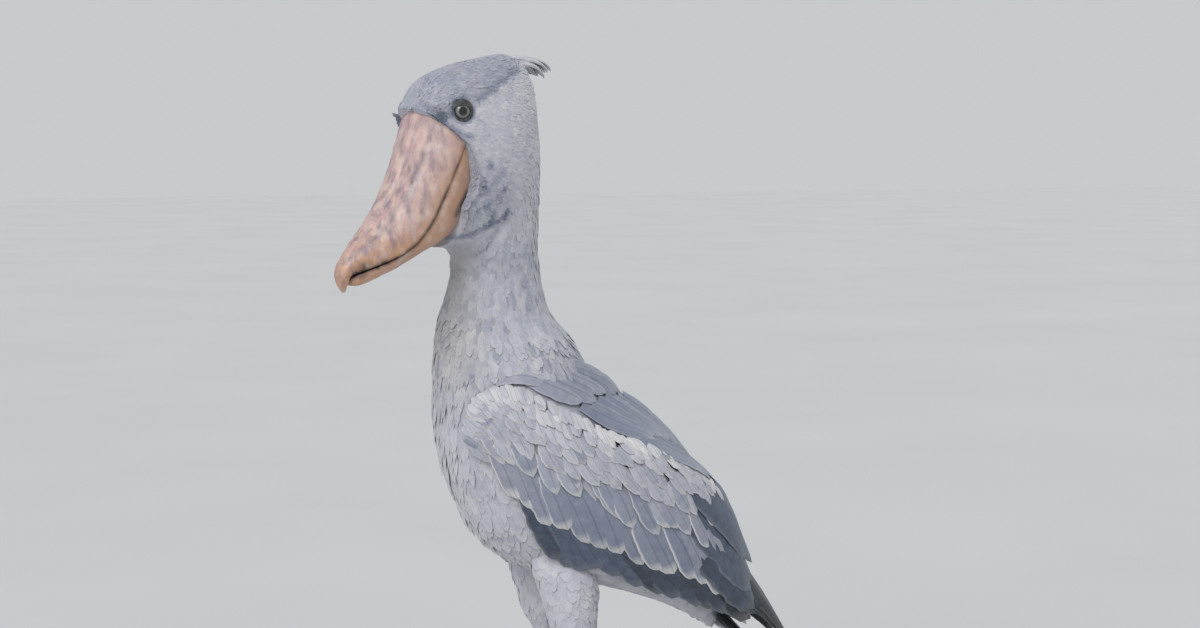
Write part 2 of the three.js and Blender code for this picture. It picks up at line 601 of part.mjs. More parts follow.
// Head, neck and torso, parted by thin seams
const whole = joined(flesh, lids(1), lids(-1));
const sockets = [1, -1].map((side) => solidOf(eyeball(side, SEAM)));
const parted = whole.subtract(joined(slabAt(NECK_CUT), slabAt(SHOULDER_CUT))).subtract(joined(billRoom, ...sockets));
const largest = parted.decompose().sort((a, b) => b.volume() - a.volume()).slice(0, 3);
const [headPiece, neckPiece, torsoPiece] = largest.sort((a, b) => b.boundingBox().max[2] - a.boundingBox().max[2]);
addPart('head', shellOf(headPiece), COLORS.plumage);
addPart('neck', shellOf(neckPiece), COLORS.plumage);
addPart('torso', shellOf(torsoPiece), COLORS.plumage);
for (const [name, side] of Object.entries(SIDES)) {
  addPart(`eye_${name}`, eyeball(side), COLORS.eye, 0.2);
}

// The bill, with a slit of a nostril on each side of the culmen; the mouth line is the gap between its two halves
const NOSTRIL = { aside: 13, at: [-131, 1009], radii: [1.8, 4, 9], slope: -20 };
const MOUTH = { aside: 1, down: 0.5 };
const upperRings = (grow) => ringsOf(UPPER, 18, (row) => upperRing(row, grow));
const upper = solidOf(turned(skinOver(upperRings(0))));
const upperOut = solidOf(turned(skinOver(upperRings(MOUTH.aside)).translate(0, 0, -MOUTH.down)));
const nostrils = [1, -1].map((side) => solidOf(turned(
  ellipsoid([side * NOSTRIL.aside, ...NOSTRIL.at], NOSTRIL.radii, NOSTRIL.slope, [8, 6]))));
const lower = solidOf(turned(skinOver(ringsOf(LOWER, 13, lowerRing))));
addPart('bill_upper', shellOf(upper.intersect(billSpace).subtract(joined(...nostrils))), COLORS.bill, 0.5);
addPart('bill_lower', shellOf(lower.intersect(billSpace).subtract(upperOut)), COLORS.bill, 0.5);

addPart('crest', shellOf(crestSolid().subtract(fleshOut)), COLORS.plumage);
const tail = tailSolid();
addPart('tail', shellOf(tail.subtract(fleshOut)), COLORS.dark);

// Wings and legs; a thin wall keeps the two wings apart over the back
const BETWEEN_WINGS = solidOf(new THREE.BoxGeometry(1, 900, 900).translate(0, 300, 500));
for (const [name, side] of Object.entries(SIDES)) {
  const place = (geometry) => solidOf(onSide(geometry, side).translate(0, side > 0 ? 0 : RIGHT_STEP, 0));
  const foot = (grow) => place(ellipsoid(FOOT.centre, FOOT.radii.map((r) => r + grow)));
  const thigh = (grow) => place(limb(THIGH, 9, 14, grow));
  const wing = solidOf(onSide(shellOf(joined(wingCore(), ...ROWS.flatMap(featherRow))), side));
  const wingRoom = joined(fleshOut, thigh(SEAM), tail, BETWEEN_WINGS);
  addPart(`wing_${name}`, shellOf(wing.subtract(wingRoom)), COLORS.plumage);
  addPart(`thigh_${name}`, shellOf(thigh(0).subtract(fleshOut)), COLORS.plumage);
  addPart(`shank_${name}`, shellOf(place(limb(SHANK, 15, 10)).subtract(foot(SEAM))), COLORS.skin);
  addPart(`foot_${name}`, shellOf(foot(0)), COLORS.skin);
  const middleToe = place(toeSkin(TOES.find((toe) => toe.name === 'toe_middle')));
  for (const toe of TOES) {
    const solid = place(toeSkin(toe));
    const beside = ['toe_inner', 'toe_outer'].includes(toe.name) ? [middleToe] : [];
    addPart(`${toe.name}_${name}`, shellOf(solid.subtract(joined(foot(SEAM), ...beside))), COLORS.skin);
    const claw = place(clawSkin(toe)).subtract(solid);
    addPart(`${toe.name.replace('toe', 'claw')}_${name}`, shellOf(claw), COLORS.claw, 0.4);
  }
}

// The finished bird stands with its origin on the floor, under the middle of its bounding box.
const middle = new THREE.Box3().setFromObject(bird).getCenter(vec(0, 0, 0));
for (const part of bird.children) {
  part.geometry.translate(-Math.round(middle.x), -Math.round(middle.y), 0);
}

export default bird;
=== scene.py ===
"""A shoebill standing at rest, life size, dressed over its solids: skin, small feathers, wing and tail
feathers, bill, eyes, legs and claws. Sizes are millimetres in the solids' modelling frame, where the neck's
upright axis is at X = Y = 0, and place() brings them to metres in the model's own frame."""

import math
from dataclasses import dataclass

import bmesh
import bpy
import numpy as np
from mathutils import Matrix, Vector, noise
from mathutils.bvhtree import BVHTree
from mathutils.kdtree import KDTree


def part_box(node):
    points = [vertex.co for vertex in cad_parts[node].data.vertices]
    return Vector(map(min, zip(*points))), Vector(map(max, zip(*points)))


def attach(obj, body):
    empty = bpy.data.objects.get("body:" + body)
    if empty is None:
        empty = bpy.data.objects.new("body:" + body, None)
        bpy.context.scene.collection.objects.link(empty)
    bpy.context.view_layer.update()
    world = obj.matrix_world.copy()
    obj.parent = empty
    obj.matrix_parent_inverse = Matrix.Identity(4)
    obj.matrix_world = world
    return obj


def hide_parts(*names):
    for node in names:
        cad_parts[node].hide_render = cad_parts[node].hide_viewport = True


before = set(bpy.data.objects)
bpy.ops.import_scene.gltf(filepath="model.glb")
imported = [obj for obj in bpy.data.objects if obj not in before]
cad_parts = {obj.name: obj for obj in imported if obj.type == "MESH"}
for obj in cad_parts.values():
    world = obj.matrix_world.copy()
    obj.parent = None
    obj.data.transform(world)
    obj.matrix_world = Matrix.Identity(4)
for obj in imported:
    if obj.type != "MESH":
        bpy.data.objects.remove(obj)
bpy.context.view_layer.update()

# Driving sizes, as on the solids
MM = 0.001
HEAD_TURN = 23.0
EYE_CENTRE = np.array([39.0, -83.0, 1027.0])
EYE_RADIUS = 13.0
IRIS_RADIUS = 9.2
PUPIL_RADIUS = 4.9
SIDES = {1: "left", -1: "right"}

# Body: cuts across the midline, each with its front and back point (y, z), half-width, roundness in front and
# behind, how far it narrows towards the back, and its turn
BODY = np.array([
    [-95, 862, -141, 1012, 43, 2.3, 2.3, 0.10, 23],
    [-88, 861, -131, 1041, 50, 2.3, 2.3, 0.12, 23],
    [-81, 860, -114, 1066, 55, 2.3, 2.3, 0.14, 23],
    [-75, 859, -77, 1083, 59, 2.3, 2.3, 0.15, 23],
    [-69, 857, -30, 1094, 61, 2.3, 2.3, 0.15, 23],
    [-64, 854, 14, 1099, 61, 2.3, 2.3, 0.14, 23],
    [-60, 849, 41, 1079, 60, 2.3, 2.3, 0.12, 23],
    [-58, 843, 52, 1030, 58, 2.2, 2.2, 0.08, 23],
    [-58, 835, 57, 978, 55, 2.2, 2.2, 0.04, 20.7],
    [-60, 822, 57, 915, 52, 2.1, 2.1, 0, 17.25],
    [-66, 802, 57, 850, 52, 2.1, 2.1, 0, 12.65],
    [-76, 770, 69, 787, 62, 2.1, 2.1, 0, 6.9],
    [-81, 738, 98, 745, 79, 2.1, 2.1, 0, 2.3],
    [-83, 700, 125, 702, 93, 2.2, 2, 0, 0],
    [-83, 655, 169, 664, 101, 2.2, 1.8, 0, 0],
    [-77, 605, 212, 622, 103, 2.3, 1.75, 0, 0],
    [-63, 560, 248, 580, 102, 2.3, 1.75, 0, 0],
    [-40, 511, 275, 538, 98, 2.3, 1.8, 0, 0],
    [2, 470, 290, 496, 88, 2.2, 1.8, 0, 0],
    [60, 447, 297, 452, 73, 2.1, 1.8, 0, 0],
    [130, 427, 303, 413, 54, 2.1, 1.8, 0, 0],
    [200, 404, 303, 378, 38, 2, 2, 0, 0],
    [256, 378, 292, 356, 26, 2, 2, 0, 0],
], float)
LAST_CUT = len(BODY) - 1
NECK_CUT = 8.0

# Where the flesh swells or sinks: cut, angle up from the side, their spreads, and how far out
SWELLS = [
    (2.6, 44, 1.3, 12, 3.2),
    (2.6, 27, 0.55, 11, -3.0),
    (4.4, -28, 1.6, 22, 4.0),
    (7.3, -46, 0.8, 22, -4.5),
]
COAT_CUTS = [0, 1, 7, 9, 11, 13, 22]
COAT_DEPTHS = [1.2, 1.7, 2.0, 3.2, 4.5, 6.5, 5.0]

# Bill: cuts from the culmen to the mouth's edge, and from the mouth to the chin, each with two points (y, z)
# and a half-width
UPPER = np.array([
    [-120, 1052, -72, 1008, 50],
    [-128, 1027, -84, 990, 52],
    [-139, 996, -94, 969, 52.5],
    [-149, 967, -106, 944, 51],
    [-161, 942, -117, 919, 49],
    [-174, 921, -131, 893, 46],
    [-188, 903, -148, 872, 42],
    [-204, 884, -170, 857, 36.5],
    [-221, 865, -193, 847, 28.5],
    [-233, 849, -213, 839, 19],
    [-238, 836, -224, 834, 12],
    [-236, 824, -226, 823, 6.5],
    [-229, 814, -226, 815, 2.2],
], float)
LOWER = np.array([
    [-76, 1004, -50, 990, 47],
    [-85, 987, -56, 968, 49],
    [-95, 967, -56, 942, 50],
    [-107, 942, -60, 912, 49],
    [-118, 917, -76, 890, 47],
    [-132, 891, -98, 871, 43],
    [-149, 870, -130, 857, 38],
    [-171, 855, -160, 842, 32],
    [-194, 845, -186, 830, 24],
    [-213, 837, -208, 822, 15.5],
    [-222, 832, -218, 822, 9],
], float)
# Half a section of each half of the bill: how far aside and how far from the mouth, as shares of its size
UPPER_SECTION = [[0, 1], [0.13, 0.985], [0.2, 0.93], [0.28, 0.92], [0.5, 0.85], [0.72, 0.69], [0.89, 0.47],
                 [0.98, 0.22], [1, 0.06], [0.96, 0], [0.7, 0.05], [0.35, 0.09], [0, 0.1]]
LOWER_SECTION = [[0, 0], [0.5, 0], [0.9, 0], [1, 0.1], [0.97, 0.35], [0.86, 0.65], [0.62, 0.9], [0.3, 1],
                 [0, 1]]
# Where the face ends and the bill starts, in the head's side plane (y, z), with the bill's whole side closed
FACE_EDGE = [[-196, 1088], [-83, 988], [-76, 968], [-72, 946], [-76, 930], [-85, 912], [-84, 892], [-90, 870],
             [-104, 850], [-104, 700], [-400, 700], [-400, 1088]]
FACE_LINE = np.array(FACE_EDGE[:9], float)

# Wing: ribs from the wrist to the tip, each from the spine over the top edge and the middle to the low edge
WING = np.array([
    [74, -10, 706, 82, -50, 680, 77, -62, 645, 70, -52, 606],
    [64, 52, 720, 96, -12, 686, 96, -24, 634, 76, -21, 582],
    [46, 118, 700, 106, 45, 655, 111, 30, 590, 84, 30, 512],
    [30, 179, 657, 108, 103, 626, 116, 90, 555, 80, 80, 470],
    [22, 229, 611, 97, 170, 603, 112, 150, 520, 74, 135, 440],
    [16, 268, 561, 78, 236, 572, 100, 212, 490, 70, 200, 408],
    [12, 296, 512, 52, 284, 528, 76, 270, 450, 60, 262, 378],
    [10, 322, 466, 26, 318, 474, 56, 316, 410, 50, 318, 352],
    [10, 351, 415, 17, 350, 418, 42, 358, 375, 42, 362, 330],
    [12, 381, 356, 18, 384, 352, 32, 390, 337, 34, 394, 318],
    [20, 399, 324, 22, 400, 323, 25, 401, 320, 27, 401, 316],
], float)

# Legs: levels as [x, y, z, half-width across, half-width along]; the right leg stands a little further
# forward. Toes: degrees from straight ahead, length, and claw length
RIGHT_STEP = -6.0
THIGH = np.array([
    [45, 58, 505, 24, 32], [47, 68, 475, 30, 40], [50, 76, 445, 33, 41], [52, 81, 415, 33, 37],
    [52, 84, 392, 30, 33.5], [52.5, 88, 371, 24, 27], [53, 93, 352, 17.5, 19.5], [53, 97, 338, 13, 14],
], float)
SHANK = np.array([
    [53, 97, 345, 9.5, 10], [54, 103, 312, 9.5, 10], [54.5, 110, 288, 11.5, 13],
    [55, 116, 272, 14.5, 16.5], [55, 117, 258, 15, 17.5], [55.5, 115, 240, 12, 14.5],
    [56.5, 111.5, 205, 9, 11], [58, 106, 150, 8.5, 10.5], [59, 102, 90, 8.7, 10.5],
    [59.5, 99, 52, 10.5, 12], [60, 97, 32, 13, 14.5], [60, 97, 18, 11, 12],
], float)
FOOT_CENTRE = np.array([60.0, 95.0, 19.0])
FOOT_RADII = np.array([17.0, 21.0, 15.5])
FOOT_SPOT = FOOT_CENTRE * [1, 1, 0]
TOES = {"inner": (18, 138, 24), "middle": (-7, 176, 27), "outer": (-34, 146, 24), "hind": (172, 84, 24)}

# Tail
TAIL_ROOT = np.array([0.0, 272.0, 398.0])
TAIL_ALONG = np.array([0.0, 0.717, -0.697])
TAIL_UP = np.array([0.0, 0.697, 0.717])


# Numbers along lines
def between(before, here, after, beyond, f):
    """A smooth curve's point, the share f of the way from here to after, with the points on both sides."""
    bend = 2 * before - 5 * here + 4 * after - beyond + f * (3 * (here - after) + beyond - before)
    return here + 0.5 * f * (after - before + f * bend)


def through(rows, t):
    """A smooth curve through rows of numbers, the first at t = 0, the next at t = 1 and so on."""
    rows = np.asarray(rows, float)
    t = np.asarray(t, float)
    i = np.clip(np.floor(t).astype(int), 0, len(rows) - 2)
    four = (rows[np.clip(i + k, 0, len(rows) - 1)] for k in (-1, 0, 1, 2))
    return between(*four, (t - i)[..., None])


def ease(start, end, x):
    """Rises smoothly from 0 at the start to 1 at the end."""
    x = np.clip((np.asarray(x, float) - start) / (end - start), 0, 1)
    return x * x * (3 - 2 * x)


def near(distance, width):
    """1 on a line or spot, fading smoothly over about that width."""
    return np.exp(-((distance / width) ** 2))


def unit(v):
    return v / np.maximum(np.linalg.norm(v, axis=-1, keepdims=True), 1e-9)


def round_the(count):
    """That many angles, evenly round a whole turn."""
    return np.arange(count) / count * 2 * np.pi


def turned(points, degrees=HEAD_TURN):
    """Points turned about the neck's upright axis, to the bird's left."""
    angle = np.radians(degrees)
    x, y, z = np.moveaxis(np.asarray(points, float), -1, 0)
    return np.stack([x * np.cos(angle) - y * np.sin(angle), x * np.sin(angle) + y * np.cos(angle), z], -1)


def in_head(points):
    """The same points as they would be if the head looked straight ahead."""
    return turned(points, -HEAD_TURN)


def mirrored(points, side):
    return np.asarray(points, float) * [side, 1, 1]


def leg_step(side):
    return np.array([0, 0 if side > 0 else RIGHT_STEP, 0])


# The model's own origin, from the place of the left eye's solid
eye_low, eye_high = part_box("eye_left")
HOME = np.array((eye_low + eye_high) / 2) / MM - turned(EYE_CENTRE)
HOME[2] = 0.0


def place(points):
    return (np.asarray(points, float) + HOME) * MM


def rough(points, size, seed=0.0):
    """Smooth noise from -1 to 1 at each point, with bumps about that many millimetres wide."""
    shifted = np.asarray(points, float).reshape(-1, 3) / size + seed
    return np.array([noise.noise(p) for p in shifted.tolist()])


# Surfaces
def coat_depth(t):
    return np.interp(t, COAT_CUTS, COAT_DEPTHS)


def on_body(t, angle, grow=0.0):
    """A point of the body: t counts the cuts, and the angle runs from the left side over the back."""
    t, angle = np.broadcast_arrays(np.asarray(t, float), np.asarray(angle, float))
    cut = np.moveaxis(through(BODY, t), -1, 0)
    front_y, front_z, back_y, back_z, half, front_round, back_round, lean, turn = cut
    reach = np.hypot(back_y - front_y, back_z - front_z) / 2
    c, s = np.cos(angle), np.sin(angle)
    side = np.degrees(np.arcsin(np.clip(s, -1, 1)))
    swell = grow + sum(
        out * np.exp(-(((t - at) / wide) ** 2) - ((side - up) / spread) ** 2)
        for at, up, wide, spread, out in SWELLS
    )
    power = 2 / (front_round + (back_round - front_round) * ease(-0.25, 0.25, s))
    across = np.sign(c) * np.abs(c) ** power * (half * (1 - lean * s) + swell)
    along = np.sign(s) * np.abs(s) ** power * (1 + swell / reach)
    y = (front_y + back_y) / 2 + along * (back_y - front_y) / 2
    z = (front_z + back_z) / 2 + along * (back_z - front_z) / 2
    return turned(np.stack([across, y, z], -1), turn)


def on_skin(t, angle):
    return on_body(t, angle, -coat_depth(t))


def on_limb(rows, t, angle, grow=0.0):
    t, angle = np.broadcast_arrays(np.asarray(t, float), np.asarray(angle, float))
    x, y, z, across, along = np.moveaxis(through(rows, t), -1, 0)
    return np.stack([x + (across + grow) * np.cos(angle), y + (along + grow) * np.sin(angle), z], -1)


def wing_bed(s, w):
    """A point under the wing's feathers: s runs from the wrist to the tip, w down from the spine (-0.5)."""
    rows = through(WING, np.asarray(s) * (len(WING) - 1))
    lines = np.moveaxis(rows.reshape(rows.shape[:-1] + (4, 3)), -2, 0)
    t = (np.asarray(w, float) + 0.5) * 2
    i = np.clip(np.floor(t).astype(int), 0, 2)
    four = (np.take_along_axis(lines, np.clip(i + k, 0, 3)[None, ..., None], 0)[0] for k in (-1, 0, 1, 2))
    return between(*four, (t - i)[..., None])


def wing_normal(s, w):
    back = wing_bed(s + 0.01, w) - wing_bed(s - 0.01, w)
    down = wing_bed(s, w + 0.01) - wing_bed(s, w - 0.01)
    return unit(np.cross(down, back))


def on_wing(s, w, lift=0.0):
    s, w, lift = np.broadcast_arrays(np.asarray(s, float), np.asarray(w, float), np.asarray(lift, float))
    return wing_bed(s, w) + wing_normal(s, w) * lift[..., None]


def pile(s, w):
    """How deep the feathers lie over the wing's bed."""
    thick = np.where(w < 0, 6 + 10 * w, 6 - 5 * w)
    return thick * (0.5 + 0.5 * ease(0, 0.12, s)) * (1 - 0.6 * ease(0.5, 0.85, s))


# Meshes
def tube(grid):
    """Vertices, faces and corner places (u along the rings, v round them) of a skin over closed rings."""
    rings, sides = grid.shape[:2]
    points = [*grid.reshape(-1, 3)]
    faces, corners = [], []
    for r in range(rings - 1):
        for s in range(sides):
            n = (s + 1) % sides
            faces.append((r * sides + s, r * sides + n, (r + 1) * sides + n, (r + 1) * sides + s))
            a, b, c, d = s / sides, (s + 1) / sides, r / (rings - 1), (r + 1) / (rings - 1)
            corners.append(((c, a), (c, b), (d, b), (d, a)))
    for r, u in ((0, 0.0), (rings - 1, 1.0)):
        points.append(grid[r].mean(0))
        for s in range(sides):
            pair = (r * sides + s, r * sides + (s + 1) % sides)
            faces.append((*(reversed(pair) if r == 0 else pair), len(points) - 1))
            ends = ((u, s / sides), (u, (s + 1) / sides))
            corners.append((*(reversed(ends) if r == 0 else ends), (u, (s + 0.5) / sides)))
    return np.array(points), faces, corners


def outward(mesh):
    shape = bmesh.new()
    shape.from_mesh(mesh)
    bmesh.ops.recalc_face_normals(shape, faces=shape.faces)
    shape.to_mesh(mesh)
    shape.free()


def linked(name, data):
    """A new object of a mesh, light or camera, in the scene."""
    made = bpy.data.objects.new(name, data)
    bpy.context.scene.collection.objects.link(made)
    return made


def lay_map(mesh, name, corners):
    """A UV map from the corner places of every face."""
    layer = mesh.uv_layers.new(name=name)
    layer.data.foreach_set("uv", np.array([c for face in corners for c in face], np.float32).ravel())


def new_object(name, points, faces, material=None, maps=None):
    """A smooth mesh object from points in millimetres; maps holds corner places for each UV map."""
    mesh = bpy.data.meshes.new(name)
    mesh.from_pydata(place(points).tolist(), [], faces)
    for map_name, corners in (maps or {}).items():
        lay_map(mesh, map_name, corners)
    outward(mesh)
    mesh.shade_smooth()
    if material:
        mesh.materials.append(material)
    return linked(name, mesh)


def set_attribute(mesh, name, values):
    """One number, or three, for every vertex."""
    values = np.asarray(values, np.float32)
    three = values.size == 3 * len(mesh.vertices)
    kind, field = ("FLOAT_VECTOR", "vector") if three else ("FLOAT", "value")
    layer = mesh.attributes.get(name) or mesh.attributes.new(name, kind, "POINT")
    layer.data.foreach_set(field, values.ravel())


def vertex_numbers(mesh, field):
    """Every vertex's place or normal, as the mesh holds it."""
    flat = np.empty(len(mesh.vertices) * 3, np.float32)
    mesh.vertices.foreach_get(field, flat)
    return flat.reshape(-1, 3).astype(float)


def points_of(mesh):
    return vertex_numbers(mesh, "co") / MM - HOME


def crisp(mesh):
    """Smooth over each vane's top and crisp at its edge, so that the edge doesn't shade as a round one."""
    mesh.shade_smooth()
    mesh.set_sharp_from_angle(angle=math.radians(45))


def plain_mesh(piece):
    """The piece with its modifiers made part of its mesh."""
    seen = piece.evaluated_get(bpy.context.evaluated_depsgraph_get())
    mesh = bpy.data.meshes.new_from_object(seen)
    piece.modifiers.clear()
    piece.data = mesh
    mesh.shade_smooth()
    return piece


def combine(piece, other, operation):
    """Joins another closed piece to this one, or cuts it away, and removes it."""
    change = piece.modifiers.new("combine", "BOOLEAN")
    change.operation = operation
    change.solver = "MANIFOLD"
    change.object = other
    plain_mesh(piece)
    bpy.data.objects.remove(other)
    return piece


def side_prism(outline, half=300.0):
    """A cutting tool drawn in the head's side plane (y, z) and as wide as the bird."""
    edge = np.array(outline, float)
    flat = np.stack([np.zeros(len(edge)), edge[:, 0], edge[:, 1]], -1)
    points = np.concatenate([turned(flat + [half, 0, 0]), turned(flat - [half, 0, 0])])
    n = len(edge)
    faces = [tuple(range(n)), tuple(reversed(range(n, 2 * n)))]
    faces += [(i, i + n, (i + 1) % n + n, (i + 1) % n) for i in range(n)]
    return new_object("cutter", points, faces)


def belong(piece, slot, *nodes):
    """The finished piece rides on the bird and stands for its solids, which are hidden; its slot is not used.
    """
    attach(piece, "root")
    if nodes:
        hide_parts(*nodes)
    return piece


# Materials
def linear(code):
    """An sRGB hex colour as linear numbers."""
    parts = [int(code[i:i + 2], 16) / 255 for i in (1, 3, 5)]
    return [*(p / 12.92 if p <= 0.04045 else ((p + 0.055) / 1.055) ** 2.4 for p in parts), 1.0]


def node(tree, kind, inputs=(), **settings):
    """Adds a node with its settings, and its inputs as numbers or links."""
    made = tree.nodes.new(kind)
    for name, value in settings.items():
        setattr(made, name, value)
    for key, value in dict(inputs).items():
        if isinstance(value, bpy.types.NodeSocket):
            tree.links.new(value, made.inputs[key])
        else:
            made.inputs[key].default_value = value
    return made


def finish_of(name, **constants):
    """A new material with its shader's own numbers set, and its tree and shader."""
    material = bpy.data.materials.new(name)
    material.use_nodes = True
    tree = material.node_tree
    shader = tree.nodes["Principled BSDF"]
    for key, value in constants.items():
        shader.inputs[key.replace("_", " ")].default_value = value
    return material, tree, shader


def scale_for(size):
    """A texture's scale for bumps about that many millimetres wide."""
    return 1 / (size * MM)


def ramp(tree, factor, *stops):
    made = node(tree, "ShaderNodeValToRGB", {0: factor})
    while len(made.color_ramp.elements) < len(stops):
        made.color_ramp.elements.new(0.5)
    for element, (position, code) in zip(made.color_ramp.elements, stops):
        element.position = position
        element.color = linear(code)
    return made.outputs[0]


def spots_of(tree, size, detail=3.0, stretch=(1, 1, 1)):
    """Cloudy noise in the piece's own coordinates."""
    where = node(tree, "ShaderNodeTexCoord").outputs["Object"]
    mapped = node(tree, "ShaderNodeMapping", {0: where, "Scale": stretch}).outputs[0]
    clouds = node(tree, "ShaderNodeTexNoise", {"Vector": mapped, "Scale": scale_for(size), "Detail": detail})
    return clouds.outputs[0]


def number(tree, name):
    return node(tree, "ShaderNodeAttribute", attribute_name=name).outputs["Fac"]


def maths(tree, operation, *values):
    return node(tree, "ShaderNodeMath", dict(enumerate(values)), operation=operation).outputs[0]


def blend(tree, factor, a, b, mode="MIX"):
    made = node(tree, "ShaderNodeMix", {0: factor}, data_type="RGBA", blend_type=mode)
    for key, value in ((6, a), (7, b)):
        if isinstance(value, bpy.types.NodeSocket):
            tree.links.new(value, made.inputs[key])
        else:
            made.inputs[key].default_value = value
    return made.outputs[2]


def bump(tree, shader, height, depth, strength=1.0):
    made = node(tree, "ShaderNodeBump", {"Height": height, "Distance": depth * MM, "Strength": strength})
    tree.links.new(made.outputs[0], shader.inputs["Normal"])


BARB_SLANT = 14.0  # how far forward a barb slants over a whole vane's width, in barbs
SHAFT_HALF = 0.035  # half a shaft's width, as a share of its vane's
FRINGE_START = 0.80  # how far out to the side, or to the tip, the pale fringe starts


def feather_finish(name, powder):
    """Feather keratin: barbs laid side by side, soft at the edges, matt with powder down on the body."""
    material, tree, shader = finish_of(name, Roughness=0.72 if powder else 0.5, IOR=1.54,
                                       Sheen_Weight=0.25 if powder else 0.05, Sheen_Roughness=0.5)
    tone = number(tree, "slate")
    for size, detail, swing in ((11, 3.0, 0.22), (2.2, 2.0, 0.10)):
        clouds = maths(tree, "SUBTRACT", spots_of(tree, size, detail), 0.5)
        tone = maths(tree, "ADD", tone, maths(tree, "MULTIPLY", clouds, swing))
    color = ramp(tree, tone, (0.0, "#e0dedf"), (0.2, "#c1c1ca"), (0.42, "#989bac"), (0.66, "#69748a"),
                 (0.85, "#424c5f"), (1.0, "#22272f"))
    color = blend(tree, number(tree, "warm"), color, linear("#a39c82"), "MULTIPLY")

    on_vane = node(tree, "ShaderNodeUVMap", uv_map="vane").outputs[0]
    split = node(tree, "ShaderNodeSeparateXYZ", {0: on_vane})
    aside = maths(tree, "ABSOLUTE", maths(tree, "SUBTRACT", split.outputs[0], 0.5))
    along = split.outputs[1]
    # barbs run out from the shaft and forward, drawn coarser than life's 0.3 mm or so, so that they show
    barb_line = maths(tree, "SUBTRACT", maths(tree, "MULTIPLY", along, number(tree, "barbs")),
                      maths(tree, "MULTIPLY", aside, BARB_SLANT))
    barbs = maths(tree, "SINE", maths(tree, "MULTIPLY", barb_line, math.tau))
    edge = maths(tree, "SUBTRACT", maths(tree, "MAXIMUM", maths(tree, "MULTIPLY", aside, 2.0), along),
                 FRINGE_START)
    edge = node(tree, "ShaderNodeMath", {0: edge, 1: 8.0}, operation="MULTIPLY", use_clamp=True).outputs[0]
    color = blend(tree, maths(tree, "MULTIPLY", edge, number(tree, "fringe")), color, linear("#d9d7d6"))
    shaft = maths(tree, "LESS_THAN", aside, SHAFT_HALF)
    color = blend(tree, maths(tree, "MULTIPLY", shaft, number(tree, "shaft")), color, linear("#1d2128"))
    shade = maths(tree, "ADD", 0.97, maths(tree, "MULTIPLY", barbs, 0.045))
    grey = node(tree, "ShaderNodeCombineColor", {0: shade, 1: shade, 2: shade}).outputs[0]
    color = blend(tree, 1.0, color, grey, "MULTIPLY")
    tree.links.new(color, shader.inputs["Base Color"])

    fine = node(tree, "ShaderNodeBump", {"Height": barbs, "Distance": 0.05 * MM, "Strength": 0.4}).outputs[0]
    # powder down evens the light over small feathers, so their shading leans towards the skin's own
    skin_way = node(tree, "ShaderNodeAttribute", attribute_name="skin way").outputs["Vector"]
    softened = node(tree, "ShaderNodeVectorMath", {0: fine, 1: skin_way}, operation="ADD").outputs[0]
    even = node(tree, "ShaderNodeVectorMath", {0: softened}, operation="NORMALIZE").outputs[0]
    tree.links.new(even, shader.inputs["Normal"])
    return material


def keratin_bill_finish():
    """Bill horn: keratin grown over bone, satin, pink and tan with mauve-grey blotches, dark streaks and
    painted crease shade.
    """
    material, tree, shader = finish_of("bill horn", Roughness=0.42, IOR=1.55, Coat_Weight=0.12,
                                       Coat_Roughness=0.35, Subsurface_Weight=0.08, Subsurface_Scale=0.004)
    shader.inputs["Subsurface Radius"].default_value = (1.0, 0.35, 0.25)
    pale = ramp(tree, spots_of(tree, 30, 4.0), (0.3, "#d3b9ae"), (0.5, "#c9aaa2"), (0.7, "#b79ba0"))
    tan = blend(tree, number(tree, "tan"), pale, linear("#c59672"))
    blotch = maths(tree, "MULTIPLY", number(tree, "blotch"),
                   ramp(tree, spots_of(tree, 10, 5.0, (1, 1, 0.34)), (0.42, "#000000"), (0.68, "#ffffff")))
    color = blend(tree, blotch, tan, linear("#82707c"))
    fleck = maths(tree, "MULTIPLY", number(tree, "fleck"),
                  ramp(tree, spots_of(tree, 3.4, 4.0, (1, 1, 0.45)), (0.56, "#000000"), (0.70, "#cccccc")))
    color = blend(tree, fleck, color, linear("#6a545a"))
    # dark horn, and painted shade along the mouth's seam, the keel's groove and the gape's fold
    color = blend(tree, number(tree, "dark_and_crease_shade"), color, linear("#2c1d1a"))
    bloom = ramp(tree, spots_of(tree, 16, 3.0), (0.5, "#000000"), (0.75, "#ffffff"))
    color = blend(tree, maths(tree, "MULTIPLY", bloom, 0.5), color, linear("#ddccc6"))
    tree.links.new(color, shader.inputs["Base Color"])
    growth = spots_of(tree, 2.4, 6.0, (1, 1, 0.3))
    bump(tree, shader, growth, 0.35, 0.6)
    return material


def bare_skin_finish(name, code, second, size):
    """Bare skin: leathery, finely wrinkled, a little oily."""
    material, tree, shader = finish_of(name, Roughness=0.5, IOR=1.4, Specular_IOR_Level=0.4)
    tone = spots_of(tree, size * 3, 4.0)
    color = ramp(tree, tone, (0.35, code), (0.65, second))
    color = blend(tree, number(tree, "seam"), color, linear("#1c1a18"))
    tree.links.new(color, shader.inputs["Base Color"])
    cells = node(tree, "ShaderNodeTexVoronoi", {
        "Vector": node(tree, "ShaderNodeTexCoord").outputs["Object"], "Scale": scale_for(size)},
        feature="DISTANCE_TO_EDGE")
    bump(tree, shader, cells.outputs[0], 0.5, 0.7)
    return material


def claw_finish():
    """Claw horn: solid keratin worn smooth, darker towards the tip, with fine lengthwise growth lines."""
    material, tree, shader = finish_of("claw horn", Roughness=0.35, IOR=1.55)
    color = ramp(tree, number(tree, "slate"), (0.0, "#5a5148"), (1.0, "#1b1917"))
    tree.links.new(color, shader.inputs["Base Color"])
    bump(tree, shader, spots_of(tree, 1.2, 4.0, (1, 1, 4)), 0.15, 0.5)
    return material


